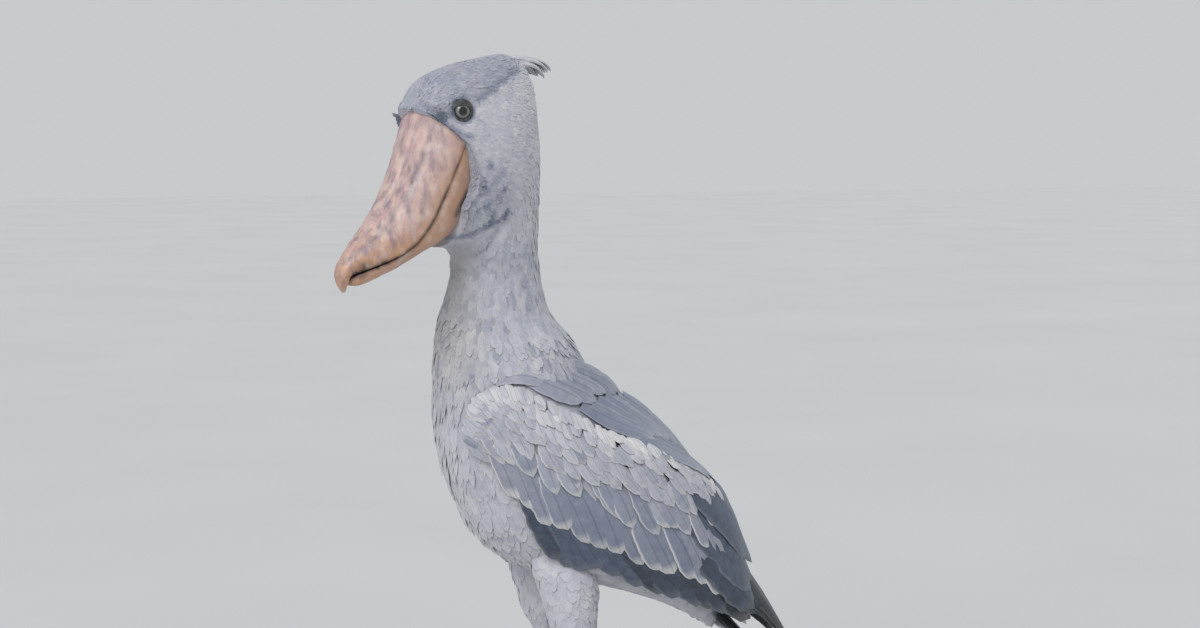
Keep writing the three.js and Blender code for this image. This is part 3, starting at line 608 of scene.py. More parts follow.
def eye_finish():
    """Living eye: a wet clear cornea over a pale iris with fine spokes, a dark rim and a black pupil."""
    material, tree, shader = finish_of("eye", Roughness=0.06, IOR=1.38, Coat_Weight=1.0, Coat_Roughness=0.02)
    spot = node(tree, "ShaderNodeUVMap", uv_map="gaze").outputs[0]
    split = node(tree, "ShaderNodeSeparateXYZ", {0: spot})
    out = split.outputs[1]
    drawn_out = node(tree, "ShaderNodeCombineXYZ", {0: maths(tree, "MULTIPLY", split.outputs[0], 40.0),
                                                    1: maths(tree, "MULTIPLY", out, 3.0)}).outputs[0]
    spokes = node(tree, "ShaderNodeTexNoise", {"Vector": drawn_out, "Scale": 1.0, "Detail": 3.0}).outputs[0]
    pupil, iris = PUPIL_RADIUS / EYE_RADIUS, IRIS_RADIUS / EYE_RADIUS
    rings = ramp(tree, out, (0.0, "#050505"), (pupil - 0.01, "#050505"), (pupil + 0.02, "#6b6e6a"),
                 (pupil + 0.14, "#8b8e86"), (iris - 0.08, "#646862"), (iris, "#1f1e1c"), (1.0, "#141311"))
    color = blend(tree, 0.5, rings, ramp(tree, spokes, (0.3, "#6f6f62"), (0.7, "#ffffff")), "MULTIPLY")
    tree.links.new(color, shader.inputs["Base Color"])
    return material


def studio_floor_finish():
    """Painted studio board: matt, pale, very slightly uneven."""
    material, tree, shader = finish_of("studio floor", Roughness=0.85, Specular_IOR_Level=0.2)
    color = ramp(tree, spots_of(tree, 900, 2.0), (0.3, "#cccdce"), (0.7, "#d0d1d2"))
    tree.links.new(color, shader.inputs["Base Color"])
    return material


BODY_FEATHERS = feather_finish("body feathers", True)
FLIGHT_FEATHERS = feather_finish("flight feathers", False)
BILL_HORN = keratin_bill_finish()
EYELID_SKIN = bare_skin_finish("eyelid skin", "#3a3b3d", "#5c5c5a", 1.6)
LEG_SKIN = bare_skin_finish("leg skin", "#3b3935", "#5a564e", 3.2)
CLAW_HORN = claw_finish()
EYE = eye_finish()
FLOOR = studio_floor_finish()

# Markings, and a painted shadow under the jaw, shared by skin and coat, in the side plane (y, z) of a head
# that looks straight ahead
# Dark spots behind the bill and on the neck: y, z, size and strength
SPOTS = [(-57, 962, 6, 0.4), (-37, 953, 5, 0.45), (-62, 936, 6, 0.45), (-32, 933, 5, 0.4),
         (-59, 914, 7, 0.45), (-42, 923, 5, 0.3), (-50, 899, 6, 0.35), (-70, 905, 6, 0.3),
         (-48, 944, 5, 0.25), (-26, 905, 6, 0.3), (-50, 930, 26, 0.13)]
CROWN_LINE = np.array([[-114, 1012], [-100, 1018], [-80, 1042], [-62, 1039], [-44, 1049], [-21, 1064],
                       [10, 1078]])
# where the jaw overhangs the neck: a line of painted shadow
JAW_SHADOW_LINE = np.array([[-20, 905], [-30, 897], [-50, 891], [-72, 878], [-89, 875]])
LORE_LINE = np.array([[-116, 1019], [-108, 1011], [-100, 1006], [-88, 999], [-77, 997]])
OLIVE_SPOT = (-112, 1026, 9.49)
# the jaw's line is painted shadow under its fold
LINE_WIDTH = 4.0  # of the dark lines of the crown, the jaw's fold and the lore


def from_line(y, z, line):
    """How far points of the side plane are from a line of spots."""
    nearest = np.full(np.shape(y), 1e9)
    for (ay, az), (by, bz) in zip(line[:-1], line[1:]):
        dy, dz = by - ay, bz - az
        f = np.clip(((y - ay) * dy + (z - az) * dz) / (dy * dy + dz * dz), 0, 1)
        nearest = np.minimum(nearest, np.hypot(y - ay - f * dy, z - az - f * dz))
    return nearest


def from_eyes(local):
    """How far points are from the nearer eye's centre, where the head looks straight ahead."""
    return np.linalg.norm(np.abs(local) - np.abs(EYE_CENTRE), axis=-1)


def markings(points):
    """How dark (slate) and how olive (warm) the plumage is at points in millimetres, with a painted shadow
    under the jaw.
    """
    points = np.asarray(points, float)
    _, y, z = points.T
    _, head_y, head_z = in_head(points).T
    on_head = ease(850, 880, z)
    front = ease(-10, -60, y)

    crown_edge = np.interp(head_y, CROWN_LINE[:, 0], CROWN_LINE[:, 1])
    crown = ease(-3, 5, head_z - crown_edge) * (1 - ease(0, 45, head_y))
    head = 0.19 + 0.19 * crown
    head += 0.28 * near(from_line(head_y, head_z, CROWN_LINE[3:]), LINE_WIDTH)
    sway_y, sway_z = 8 * rough(points, 7, 4.0), 8 * rough(points, 7, 14.0)
    for at_y, at_z, size, strength in SPOTS:
        head += strength * near(np.hypot(head_y + sway_y - at_y, head_z + sway_z - at_z), size)
    # painted shadow along the fold under the jaw
    head += 0.36 * near(from_line(head_y + 0.4 * sway_y, head_z + 0.4 * sway_z, JAW_SHADOW_LINE), LINE_WIDTH)
    head += 0.3 * near(from_line(head_y, head_z, LORE_LINE), LINE_WIDTH)
    head += 0.42 * near(from_eyes(in_head(points)) - 14, 4.5)

    neck = 0.27 + 0.05 * ease(20, 120, y)
    torso = 0.24 + 0.34 * ease(40, 150, y) * ease(520, 640, z) - 0.04 * front
    low = ease(820, 700, z)
    slate = on_head * head + (1 - on_head) * ((1 - low) * neck + low * torso)
    streaks = rough(points * [1, 1, 0.35], 7, 3.0) * (1 - on_head)
    slate += 0.17 * ease(0.1, 0.6, streaks) * (0.5 + 0.5 * ease(880, 760, z)) * ease(560, 690, z)
    slate += 0.05 * rough(points, 26, 9.0)

    warm = 0.3 * (1 - on_head) * ease(620, 760, z) * front + 0.05
    olive_y, olive_z, olive_size = OLIVE_SPOT
    warm += 0.35 * near(np.hypot(head_y - olive_y, head_z - olive_z), olive_size) * on_head
    return np.clip(slate, 0, 1), np.clip(warm, 0, 1)


def shaded(piece):
    slate, warm = markings(points_of(piece.data))
    set_attribute(piece.data, "slate", slate)
    set_attribute(piece.data, "warm", warm)
    return piece


# Where each surface lies on the bake map: (left, bottom, width, height)
ATLAS = {"body": (0.0, 0.0, 0.6, 1.0), "wing 1": (0.62, 0.0, 0.36, 0.32), "wing -1": (0.62, 0.34, 0.36, 0.32),
         "thigh 1": (0.62, 0.68, 0.17, 0.3), "thigh -1": (0.81, 0.68, 0.17, 0.3)}
PATCH = 0.003  # how wide a feather's patch is on the bake map


def on_atlas(surface, u, v):
    left, bottom, width, height = ATLAS[surface]
    return np.stack([left + width * np.asarray(v, float), bottom + height * np.asarray(u, float)], -1)


def atlas_corners(surface, corners):
    return [on_atlas(surface, *np.array(face).T).tolist() for face in corners]


# Skin: body, thighs and the flesh of the wings as one closed surface
THIGH_DEPTH = -4.0  # where the thigh's skin lies, under its coat


def skin_piece():
    neck_rings, body_rings = 20, 7
    cuts = np.concatenate([np.arange(0, NECK_CUT, 1 / neck_rings),
                           np.arange(NECK_CUT, LAST_CUT + 0.01, 1 / body_rings)])
    points, faces, corners = tube(on_skin(cuts[:, None], round_the(150)))
    skin = new_object("skin", points, faces, BODY_FEATHERS, {"OFBake": atlas_corners("body", corners)})
    for side in SIDES:
        levels = np.linspace(0, len(THIGH) - 1, 40)
        grid = on_limb(THIGH, levels[:, None], round_the(56), THIGH_DEPTH)
        points, faces, corners = tube(mirrored(grid, side) + leg_step(side))
        thigh = new_object("thigh skin", points, faces, BODY_FEATHERS,
                           {"OFBake": atlas_corners(f"thigh {side}", corners)})
        combine(skin, thigh, "UNION")
    combine(skin, side_prism(FACE_EDGE), "DIFFERENCE")
    return shaded(skin)


# Vanes: the small feathers set over the skin
def vane_pattern(name, outline, curl, camber, thick):
    """One vane, 1 long and 1 wide, closed, with its root at the origin and its tip along +Y."""
    points, uvs = [], []
    for k, wide in outline:
        bend = curl * (k - k * k)
        for x in (-1, 0, 1):
            points.append((x * wide / 2, k, camber * wide * (1 - x * x) + bend))
            uvs.append((0.5 + x / 2, k))
        points.append((0, k, camber * wide * 0.55 + bend - thick * (1 - k)))
        uvs.append((0.5, k))
    ring, last = 4, len(points)
    faces = []
    for start in range(0, last - ring, ring):
        for s in range(ring):
            n = (s + 1) % ring
            faces.append((start + s, start + n, start + ring + n, start + ring + s))
    faces.append(tuple(reversed(range(ring))))
    faces.append(tuple(range(last - ring, last)))
    mesh = bpy.data.meshes.new(name)
    mesh.from_pydata(points, [], faces)
    layer = mesh.uv_layers.new(name="vane")
    for loop in mesh.loops:
        layer.data[loop.index].uv = uvs[loop.vertex_index]
    outward(mesh)
    mesh.shade_smooth()
    return linked(name, mesh)


# Outlines of small vanes: how far along, and how wide there
TINY = [(0, 0.45), (0.45, 1.0), (0.85, 0.7), (1.0, 0.14)]
SMALL = [(0, 0.4), (0.3, 0.9), (0.6, 1.0), (0.86, 0.74), (1.0, 0.16)]
LANCE = [(0, 0.35), (0.3, 0.85), (0.55, 0.85), (0.8, 0.5), (1.0, 0.06)]


def coat_tree():
    """Sets a vane at every root, turned and sized by the root's numbers, with its patch on the bake map."""
    tree = bpy.data.node_groups.new("coat of vanes", "GeometryNodeTree")
    given_kinds = {"Roots": "Geometry", "Vane": "Object", "Finish": "Material", "Patch width": "Float"}
    for label, kind in given_kinds.items():
        tree.interface.new_socket(label, in_out="INPUT", socket_type="NodeSocket" + kind)
    tree.interface.new_socket("Coat", in_out="OUTPUT", socket_type="NodeSocketGeometry")
    given = node(tree, "NodeGroupInput")

    def stored_as(name):
        read = node(tree, "GeometryNodeInputNamedAttribute", {"Name": name}, data_type="FLOAT_VECTOR")
        return read.outputs[0]

    vane = node(tree, "GeometryNodeObjectInfo", {"Object": given.outputs["Vane"]})
    placed = node(tree, "GeometryNodeInstanceOnPoints", {
        "Points": given.outputs["Roots"], "Instance": vane.outputs["Geometry"],
        "Rotation": stored_as("turn"), "Scale": stored_as("size")})
    real = node(tree, "GeometryNodeRealizeInstances", {"Geometry": placed.outputs[0]})
    centred = node(tree, "ShaderNodeVectorMath", {0: stored_as("vane"), 1: (0.5, 0.5, 0)},
                   operation="SUBTRACT")
    spread = node(tree, "ShaderNodeVectorMath", {
        0: centred.outputs[0], "Scale": given.outputs["Patch width"]}, operation="SCALE")
    at_root = node(tree, "ShaderNodeVectorMath", {0: spread.outputs[0], 1: stored_as("root on map")})
    mapped = node(tree, "GeometryNodeStoreNamedAttribute", {"Geometry": real.outputs[0], "Name": "OFBake"},
                  data_type="FLOAT2", domain="CORNER")
    tree.links.new(at_root.outputs[0], next(s for s in mapped.inputs if s.name == "Value" and s.enabled))
    dressed = node(tree, "GeometryNodeSetMaterial", {
        "Geometry": mapped.outputs[0], "Material": given.outputs["Finish"]})
    node(tree, "NodeGroupOutput", {"Coat": dressed.outputs[0]})
    return tree


COAT = coat_tree()
SOFT_LIGHT = 0.7  # how much more the skin's way counts than a vane's own in its shading


def coat_piece(name, pattern, roots, frames, sizes, on_map, numbers, skin_way):
    """A coat from its roots (millimetres), their frames (across, along, up), sizes and places on the map."""
    mesh = bpy.data.meshes.new(name)
    mesh.from_pydata(place(roots).tolist(), [], [])
    across, along, up = frames
    turn = np.stack([np.arctan2(along[:, 2], up[:, 2]), -np.arcsin(np.clip(across[:, 2], -1, 1)),
                     np.arctan2(across[:, 1], across[:, 0])], -1)
    flat_map = np.concatenate([on_map, np.zeros((len(on_map), 1))], 1)
    every = {"turn": turn, "size": np.asarray(sizes) * MM, "root on map": flat_map,
             "skin way": skin_way * SOFT_LIGHT}
    for label, values in (every | numbers).items():
        set_attribute(mesh, label, np.broadcast_to(values, (len(roots), *np.shape(values)[1:])))
    piece = linked(name, mesh)
    change = piece.modifiers.new("coat", "NODES")
    change.node_group = COAT
    sockets = {item.name: item.identifier for item in COAT.interface.items_tree}
    change[sockets["Vane"]] = pattern
    change[sockets["Finish"]] = BODY_FEATHERS
    change[sockets["Patch width"]] = PATCH
    plain_mesh(piece)
    crisp(piece.data)
    return piece


def at_cuts(rows, t):
    """A number that changes over a surface, from rows of (t, number)."""
    return np.interp(t, *np.array(rows, float).T)


def spread_roots(surface, t_range, gap, rng, steps=(160, 96)):
    """Places (t, angle) spread evenly over a surface, none closer than the gap, given as rows of (t, mm)."""
    ts, turns = np.linspace(*t_range, steps[0]), np.linspace(-np.pi, np.pi, steps[1])
    grid = surface(ts[:, None], turns[None, :])
    down, side = np.diff(grid, axis=0)[:, :-1], np.diff(grid, axis=1)[:-1]
    area = np.linalg.norm(np.cross(down, side), axis=-1)
    weight = area / (at_cuts(gap, ts[:-1])[:, None] ** 2)
    count = int(weight.sum() * 3)
    cell = rng.choice(weight.size, size=count, p=weight.ravel() / weight.sum())
    i, j = np.unravel_index(cell, weight.shape)
    t = ts[i] + rng.random(count) * (ts[1] - ts[0])
    angle = turns[j] + rng.random(count) * (turns[1] - turns[0])
    points = surface(t, angle).tolist()
    closest = at_cuts(gap, t)
    tree = KDTree(count)
    for k, p in enumerate(points):
        tree.insert(p, k)
    tree.balance()
    taken = np.zeros(count, bool)
    kept = []
    for k, p in enumerate(points):
        if not taken[k]:
            kept.append(k)
            for _, other, _ in tree.find_range(p, closest[k]):
                taken[other] = True
    return t[kept], angle[kept]


def frames_on(points, normal, lie, rise, rng, stray=5.0):
    """Each vane's across, along and up, lying along the coat and standing off it by the rise, in degrees."""
    flat = unit(lie - normal * np.sum(lie * normal, -1, keepdims=True))
    sideways = unit(np.cross(flat, normal))
    swing = np.radians(rng.normal(0, stray, len(points)))[:, None]
    flat = flat * np.cos(swing) + sideways * np.sin(swing)
    lift = np.radians(rise + rng.normal(0, 1.5, len(points)))[:, None]
    along = flat * np.cos(lift) + normal * np.sin(lift)
    across = unit(np.cross(along, normal))
    roll = np.radians(rng.normal(0, 4, len(points)))[:, None]
    up = np.cross(across, along)
    return across * np.cos(roll) + up * np.sin(roll), along, up * np.cos(roll) - across * np.sin(roll)


def facing_out(surface, t, angle, step, sides):
    """The surface's normals, turned away from the middle of each ring, and the way down it."""
    down = surface(t + step, angle) - surface(t - step, angle)
    side = surface(t, angle + step) - surface(t, angle - step)
    normal = unit(np.cross(side, down))
    middle = np.mean([surface(t, angle + k * 2 * np.pi / sides) for k in range(sides)], 0)
    outwards = surface(t, angle) - middle
    return normal * np.sign(np.sum(normal * outwards, -1, keepdims=True)), unit(down)


BACKWARDS = np.array([0.0, 1.0, -0.42])  # how feathers lie on the crown


def body_coat(name, pattern, t_range, gap, length, width, rise, rng):
    """Feathers over one stretch of the body; gap, length and width are rows of (cut, millimetres)."""
    t, angle = spread_roots(on_skin, t_range, gap, rng)
    point = on_skin(t, angle)
    normal, down = facing_out(on_skin, t, angle, 0.02, 4)
    over = ease(5.5, 8.5, t)[:, None]
    lie = down * over + turned(BACKWARDS) * (1 - over)
    free = ~blocked(point, at_cuts(length, t), lie)
    t, angle, point, normal, lie = t[free], angle[free], point[free], normal[free], lie[free]
    across, along, up = frames_on(point, normal, lie, rise, rng, stray=4)
    vary = 1 + 0.14 * rng.normal(0, 1, len(t))
    long = at_cuts(length, t)
    size = np.stack([at_cuts(width, t) * vary, long * vary, long * 0.9], -1)
    slate, warm = markings(point + along * long[:, None] * 0.7)
    slate = np.clip(slate + rng.normal(0, 0.035, len(t)), 0, 1)
    low = ease(8, 14, t)
    numbers = {"slate": slate, "warm": warm, "fringe": 0.1 + 0.2 * low, "shaft": 0.04 + 0.1 * low,
               "barbs": 10.0}
    on_map = on_atlas("body", t / LAST_CUT, (angle / (2 * np.pi)) % 1)
    return coat_piece(name, pattern, point - normal * 0.5, (across, along, up), size, on_map, numbers, normal)


# Wing: its flesh, then feathers in rows
def wing_flesh(side):
    """The arm and hand under the feathers, closed."""
    s, w = np.meshgrid(np.linspace(0.01, 0.7, 60), np.linspace(-0.44, 0.8, 22), indexing="ij")
    depth = -18 + 15 * ease(0.42, 0.6, s)
    outer, inner = on_wing(s, w, 1.5), on_wing(s, w, depth)[:, ::-1]
    points, faces, corners = tube(mirrored(np.concatenate([outer, inner], 1), side))
    return new_object("wing flesh", points, faces, BODY_FEATHERS,
                      {"OFBake": atlas_corners(f"wing {side}", corners)})


SHAFT_RISE = 0.28  # how far a long feather's shaft stands up from its vane
RAGGED = 0.035  # how much its edge wanders, as a share of its half-width


def long_vane(spots, normals, half, outline, rng, rows=16, sides=5, camber=0.10, thick=0.5, roll=0.0):
    """A long feather along a line of spots: closed, cambered, with a raised shaft and a ragged edge."""
    k = np.linspace(0, 1, rows) ** 0.9
    at = k * (len(spots) - 1)
    centre, up = through(spots, at), unit(through(normals, at))
    along = unit(np.gradient(centre, axis=0))
    across = unit(np.cross(along, up))
    angle = np.radians(roll)
    across, up = across * np.cos(angle) + up * np.sin(angle), up * np.cos(angle) - across * np.sin(angle)

    x = np.linspace(-1, 1, 2 * sides - 1)
    wide = half * np.interp(k, *np.array(outline).T)
    ragged = 1 + RAGGED * rng.normal(0, 1, (rows, 2))
    reach = wide[:, None] * np.where(x < 0, ragged[:, :1], ragged[:, 1:]) * x
    swept_back = -0.16 * half * x ** 2
    rise = camber * wide[:, None] * (1 - x ** 2) * 2 + SHAFT_RISE * (np.abs(x) < 0.01)
    top = (centre[:, None] + across[:, None] * reach[..., None] + along[:, None] * swept_back[:, None]
           + up[:, None] * rise[..., None])
    wall = thick * (0.35 + 0.65 * (1 - np.abs(x))) * (1 - 0.6 * k[:, None])
    low = top - up[:, None] * wall[..., None]

    ring = np.concatenate([top, low[:, ::-1]], 1)
    n = ring.shape[1]
    faces, uvs = [], []
    u = np.concatenate([0.5 + x / 2, (0.5 + x / 2)[::-1]])
    for r in range(rows - 1):
        for s in range(n):
            t = (s + 1) % n
            faces.append((r * n + s, r * n + t, (r + 1) * n + t, (r + 1) * n + s))
            uvs.append(((u[s], k[r]), (u[t], k[r]), (u[t], k[r + 1]), (u[s], k[r + 1])))
    for r, order in ((0, -1), (rows - 1, 1)):
        for s in range(n // 2 - 1):
            face = (r * n + s, r * n + s + 1, r * n + n - 2 - s, r * n + n - 1 - s)[::order]
            faces.append(face)
            uvs.append(tuple((u[i - r * n], k[r]) for i in face))
    return ring.reshape(-1, 3), faces, uvs


# Outlines of long feathers: how far along, and how wide there
BLUNT = ((0, 0.5), (0.25, 0.86), (0.6, 1.0), (0.8, 0.97), (0.92, 0.78), (0.98, 0.45), (1, 0.16))
POINTED = ((0, 0.55), (0.3, 0.9), (0.6, 1.0), (0.8, 0.85), (0.93, 0.5), (1, 0.1))
OVAL = ((0, 0.5), (0.3, 0.9), (0.55, 1.0), (0.76, 0.86), (0.9, 0.56), (0.97, 0.28), (1, 0.1))
SMOOTH = ((0, 0.5), (0.3, 0.95), (0.65, 1.0), (0.85, 0.8), (0.95, 0.5), (1, 0.15))


def joined_vanes(name, vanes, finish):
    """One piece from many long feathers: (points, faces, vane map, root on the bake map, numbers)."""
    points, faces, vane_map, bake_map, numbers = [], [], [], [], {}
    offset = 0
    for own_points, own_faces, own_map, root, own_numbers in vanes:
        points.append(own_points)
        faces += [tuple(i + offset for i in face) for face in own_faces]
        vane_map += own_map
        bake_map += [tuple((root[0] + (a - 0.5) * PATCH, root[1] + (b - 0.5) * PATCH) for a, b in face)
                     for face in own_map]
        for label, value in own_numbers.items():
            numbers.setdefault(label, []).append(np.full(len(own_points), value))
        offset += len(own_points)
    mesh = bpy.data.meshes.new(name)
    mesh.from_pydata(place(np.concatenate(points)).tolist(), [], faces)
    lay_map(mesh, "vane", vane_map)
    lay_map(mesh, "OFBake", bake_map)
    for label, values in numbers.items():
        set_attribute(mesh, label, np.concatenate(values))
    outward(mesh)
    crisp(mesh)
    mesh.materials.append(finish)
    return linked(name, mesh)


@dataclass
class Row:
    """A row of wing feathers; each pair of numbers is for its first and its last feather."""

    name: str
    count: int
    roots: list  # (s, w) on the wing's bed
    way: list  # (s, w) towards the tip
    half: float  # half-width
    length: list
    lift: list  # over the pile, at each feather's root and tip
    slate: list
    fringe: float
    outline: tuple = BLUNT
    finish: str = "body"
    roll: float = 5.0


# The wing's rows from the lowest up, then those of the wrist and the back
WING_ROWS = [
    Row("primaries", 9, [[0.5, 0.5], [0.56, 0.2]], [[0.42, 0.26], [0.43, 0.3]], 17, [150, 235], [-3.2, -1.0],
        [0.93, 1.0], 0.05, POINTED, "flight", 4),
    Row("secondaries", 12, [[0.16, 0.72], [0.52, 0.5]], [[0.12, 0.32], [0.26, 0.34]], 19, [105, 150],
        [-2.6, -0.4], [0.78, 0.93], 0.12, BLUNT, "flight", 6),
    Row("tertials", 5, [[0.5, 0.44], [0.46, 0.04]], [[0.32, 0.2], [0.36, 0.04]], 24, [150, 185], [-2.4, 0.6],
        [0.88, 0.74], 0.1, SMOOTH, "flight"),
    Row("greater coverts", 14, [[0.09, 0.56], [0.56, 0.36]], [[0.1, 0.44], [0.14, 0.36]], 15.5, [84, 98],
        [-1.6, 1.4], [0.5, 0.54], 0.8),
    Row("median coverts", 17, [[0.06, 0.38], [0.55, 0.22]], [[0.1, 0.46], [0.13, 0.36]], 12.5, [58, 66],
        [-1.2, 2.2], [0.34, 0.42], 0.75, OVAL),
    Row("lower lesser coverts", 20, [[0.04, 0.28], [0.56, 0.12]], [[0.1, 0.46], [0.13, 0.36]], 10.5, [42, 46],
        [-0.8, 2.7], [0.3, 0.36], 0.6, OVAL),
    Row("middle lesser coverts", 24, [[0.03, 0.18], [0.57, 0.04]], [[0.1, 0.46], [0.13, 0.36]], 9, [34, 38],
        [-0.4, 3.0], [0.27, 0.3], 0.55, OVAL),
    Row("lesser coverts", 31, [[0.03, 0.09], [0.575, -0.02]], [[0.1, 0.46], [0.13, 0.36]], 8, [28, 32],
        [-0.2, 3.2], [0.25, 0.26], 0.5, OVAL),
    Row("upper lesser coverts", 34, [[0.02, 0.0], [0.53, -0.06]], [[0.1, 0.46], [0.13, 0.36]], 7.5, [24, 28],
        [0, 3.3], [0.23, 0.18], 0.4, OVAL),
    Row("marginal coverts", 38, [[0.02, -0.08], [0.51, -0.1]], [[0.1, 0.46], [0.13, 0.36]], 7, [22, 26],
        [0, 3.2], [0.2, 0.06], 0.3, OVAL),
    Row("wrist coverts", 15, [[0.006, 0.02], [0.03, 0.62]], [[0.12, 0.34], [0.12, 0.3]], 9, [30, 36],
        [0.2, 2.6], [0.22, 0.34], 0.5, OVAL),
    Row("wrist edge coverts", 13, [[0.002, -0.02], [0.012, 0.6]], [[0.12, 0.3], [0.12, 0.26]], 8, [24, 28],
        [0.2, 3.0], [0.2, 0.3], 0.4, OVAL),
    Row("long scapulars", 5, [[0.36, -0.14], [0.4, -0.46]], [[0.34, 0.0], [0.34, 0.04]], 21, [135, 150],
        [-1.0, 1.0], [0.6, 0.66], 0.12, SMOOTH, "flight"),
    Row("middle scapulars", 6, [[0.22, -0.17], [0.26, -0.46]], [[0.34, 0.0], [0.34, 0.02]], 18, [105, 115],
        [-0.6, 1.5], [0.54, 0.6], 0.15, SMOOTH, "flight"),
    Row("short scapulars", 6, [[0.11, -0.2], [0.13, -0.46]], [[0.34, 0.0], [0.34, 0.02]], 15, [80, 88],
        [-0.4, 1.8], [0.46, 0.52], 0.15, SMOOTH),
    Row("shoulder feathers", 7, [[0.03, -0.2], [0.03, -0.47]], [[0.34, 0.0], [0.34, 0.02]], 12, [56, 60],
        [0.0, 2.0], [0.36, 0.42], 0.2, SMOOTH),
]


def wing_path(root, way, length, lift, order):
    """Spots down the wing from a root, the way it points, for that length, with their normals and middle."""
    step = np.array(way)
    for _ in range(3):
        ends = np.array([root, np.array(root) + step])
        far = np.linalg.norm(np.diff(wing_bed(ends[:, 0], np.clip(ends[:, 1], -0.5, 1.05)), axis=0))
        step = step * length / max(far, 1)
        step *= min(1.0, (1.0 - root[0]) / max(step[0], 1e-6))
    k = np.linspace(0, 1, 7)
    s, w = root[0] + step[0] * k, np.clip(root[1] + step[1] * k, -0.5, 1.04)
    high = pile(s, w) + lift[0] + (lift[1] - lift[0]) * k + order
    return on_wing(s, w, high), wing_normal(s, w), (s[3], w[3])


def wing_feather(row, i, side, rng):
    """One feather of a row, ready to join to the others."""
    f = i / (row.count - 1)

    def mix(pair):
        return np.array(pair[0]) * (1 - f) + np.array(pair[1]) * f

    loose = 1.8 if row.outline is OVAL else 1.0  # small coverts lie less evenly
    root = mix(row.roots) + rng.normal(0, 0.004, 2) * loose
    way = mix(row.way) * (1 + rng.normal(0, 0.06, 2) * loose)
    length = mix(row.length) * (1 + 0.05 * loose * rng.normal())
    order = 0.18 * (i % 2) - (0.28 * i if row.name == "primaries" else 0)
    spots, normals, middle = wing_path(root, way, length, row.lift, order)
    rows, sides = (9, 3) if row.half < 11 else (16, 5)
    points, faces, uvs = long_vane(spots, normals, row.half * (1 + 0.06 * rng.normal()), row.outline, rng,
                                   rows, sides, roll=row.roll + rng.normal(0, 2) * loose)
    slate = mix(row.slate) + rng.normal(0, 0.035) * loose
    fringe = row.fringe * (0.8 + 0.4 * rng.random())
    numbers = {"slate": slate, "warm": 0.04, "fringe": fringe, "shaft": 0.25, "barbs": length / 1.5}
    spot = on_atlas(f"wing {side}", middle[0], (middle[1] + 0.5) / 1.6)
    return mirrored(points, side), faces, uvs, spot, numbers


def wing_feathers(side, rng):
    groups = {"body": [], "flight": []}
    for row in WING_ROWS:
        groups[row.finish] += [wing_feather(row, i, side, rng) for i in range(row.count)]
    coverts = joined_vanes(f"wing_coverts_{SIDES[side]}", groups["body"], BODY_FEATHERS)
    flight = joined_vanes(f"wing_flight_feathers_{SIDES[side]}", groups["flight"], FLIGHT_FEATHERS)
    return coverts, flight


# Tail and crest
# Rows over and under the tail's long feathers: count, start and length along the tail, height over its
# middle, how far aside a root is as a share of its tip, how much higher it is for that, half-width, tone
TAIL_COVERTS = [(7, 6, 84, 8.5, 0.6, -0.14, 11, 0.66), (6, -12, 70, 10.5, 0.6, -0.14, 11, 0.60),
                (5, -28, 58, 12, 0.6, -0.14, 11, 0.54), (7, 4, 74, -7, 0.7, 0.1, 10, 0.3),
                (6, -14, 64, -9, 0.7, 0.1, 10, 0.3)]
TAIL_COVERT_GAP = 8.5


def tail_feather(side, root_aside, tip_aside, height, start, length, half, slate, rng):
    k = np.linspace(0, 1, 6)
    high = height - 2 * k * k
    spots = TAIL_ROOT + TAIL_ALONG * (start + k * length)[:, None] + TAIL_UP * high[:, None]
    spots[:, 0] += side * (root_aside + (tip_aside - root_aside) * k)
    points, faces, uvs = long_vane(spots, np.tile(TAIL_UP, (6, 1)), half, BLUNT, rng, camber=0.05, thick=0.7,
                                   roll=side * 2.0)
    numbers = {"slate": slate + rng.normal(0, 0.03), "warm": 0.03, "fringe": 0.15, "shaft": 0.5,
               "barbs": length / 1.6}
    return points, faces, uvs, on_atlas("body", 0.97, 0.5 + side * 0.02), numbers


def tail_feathers(rng):
    vanes = []
    for i in reversed(range(6)):
        for side in SIDES:
            height = 5 - i * 1.6 - (0 if side > 0 else 0.8)
            vanes.append(tail_feather(side, 2 + i * 3.4, 4 + i * 5.2, height, 18, 142 - i * 2.5, 16.5, 0.86,
                                      rng))
    for count, start, length, height, spread, slope, half, slate in TAIL_COVERTS:
        for j in range(count):
            aside = (j - (count - 1) / 2) * TAIL_COVERT_GAP
            side, far = (-1 if aside < 0 else 1), abs(aside)
            vanes.append(tail_feather(side, far * spread, far, height + far * slope, start, length, half,
                                      slate, rng))
    return joined_vanes("tail_feathers", vanes, FLIGHT_FEATHERS)


# The crest's main feathers, as on the solids: how far aside each grows, its height, and its length
CREST = [(0, 4, 66), (8, 2, 58), (-8, 2, 60), (13, -3, 48), (-13, -3, 50), (4, -5, 54)]
CREST_HEIGHT, CREST_START = 1091, 24
FINE_CREST_COUNT = 24


def crest_feather(aside, lift, length, half, thick, roll, rng):
    k = np.linspace(0, 1, 7)
    height = CREST_HEIGHT + lift + 4 * np.sin(2 * k) - 17 * k ** 2.2
    spots = turned(np.stack([aside * (1 - 0.5 * k), CREST_START + k * length, height], -1))
    normals = turned(np.tile(unit(np.array([aside * 0.03, 0.12, 1.0])), (7, 1)))
    points, faces, uvs = long_vane(spots, normals, half, POINTED, rng, 14, 4, 0.14, thick, roll)
    numbers = {"slate": 0.2 + rng.normal(0, 0.025), "warm": 0.05, "fringe": 0.25, "shaft": 0.06, "barbs": 20}
    return points, faces, uvs, on_atlas("body", 5.3 / LAST_CUT, 0.25 + aside * 0.002), numbers


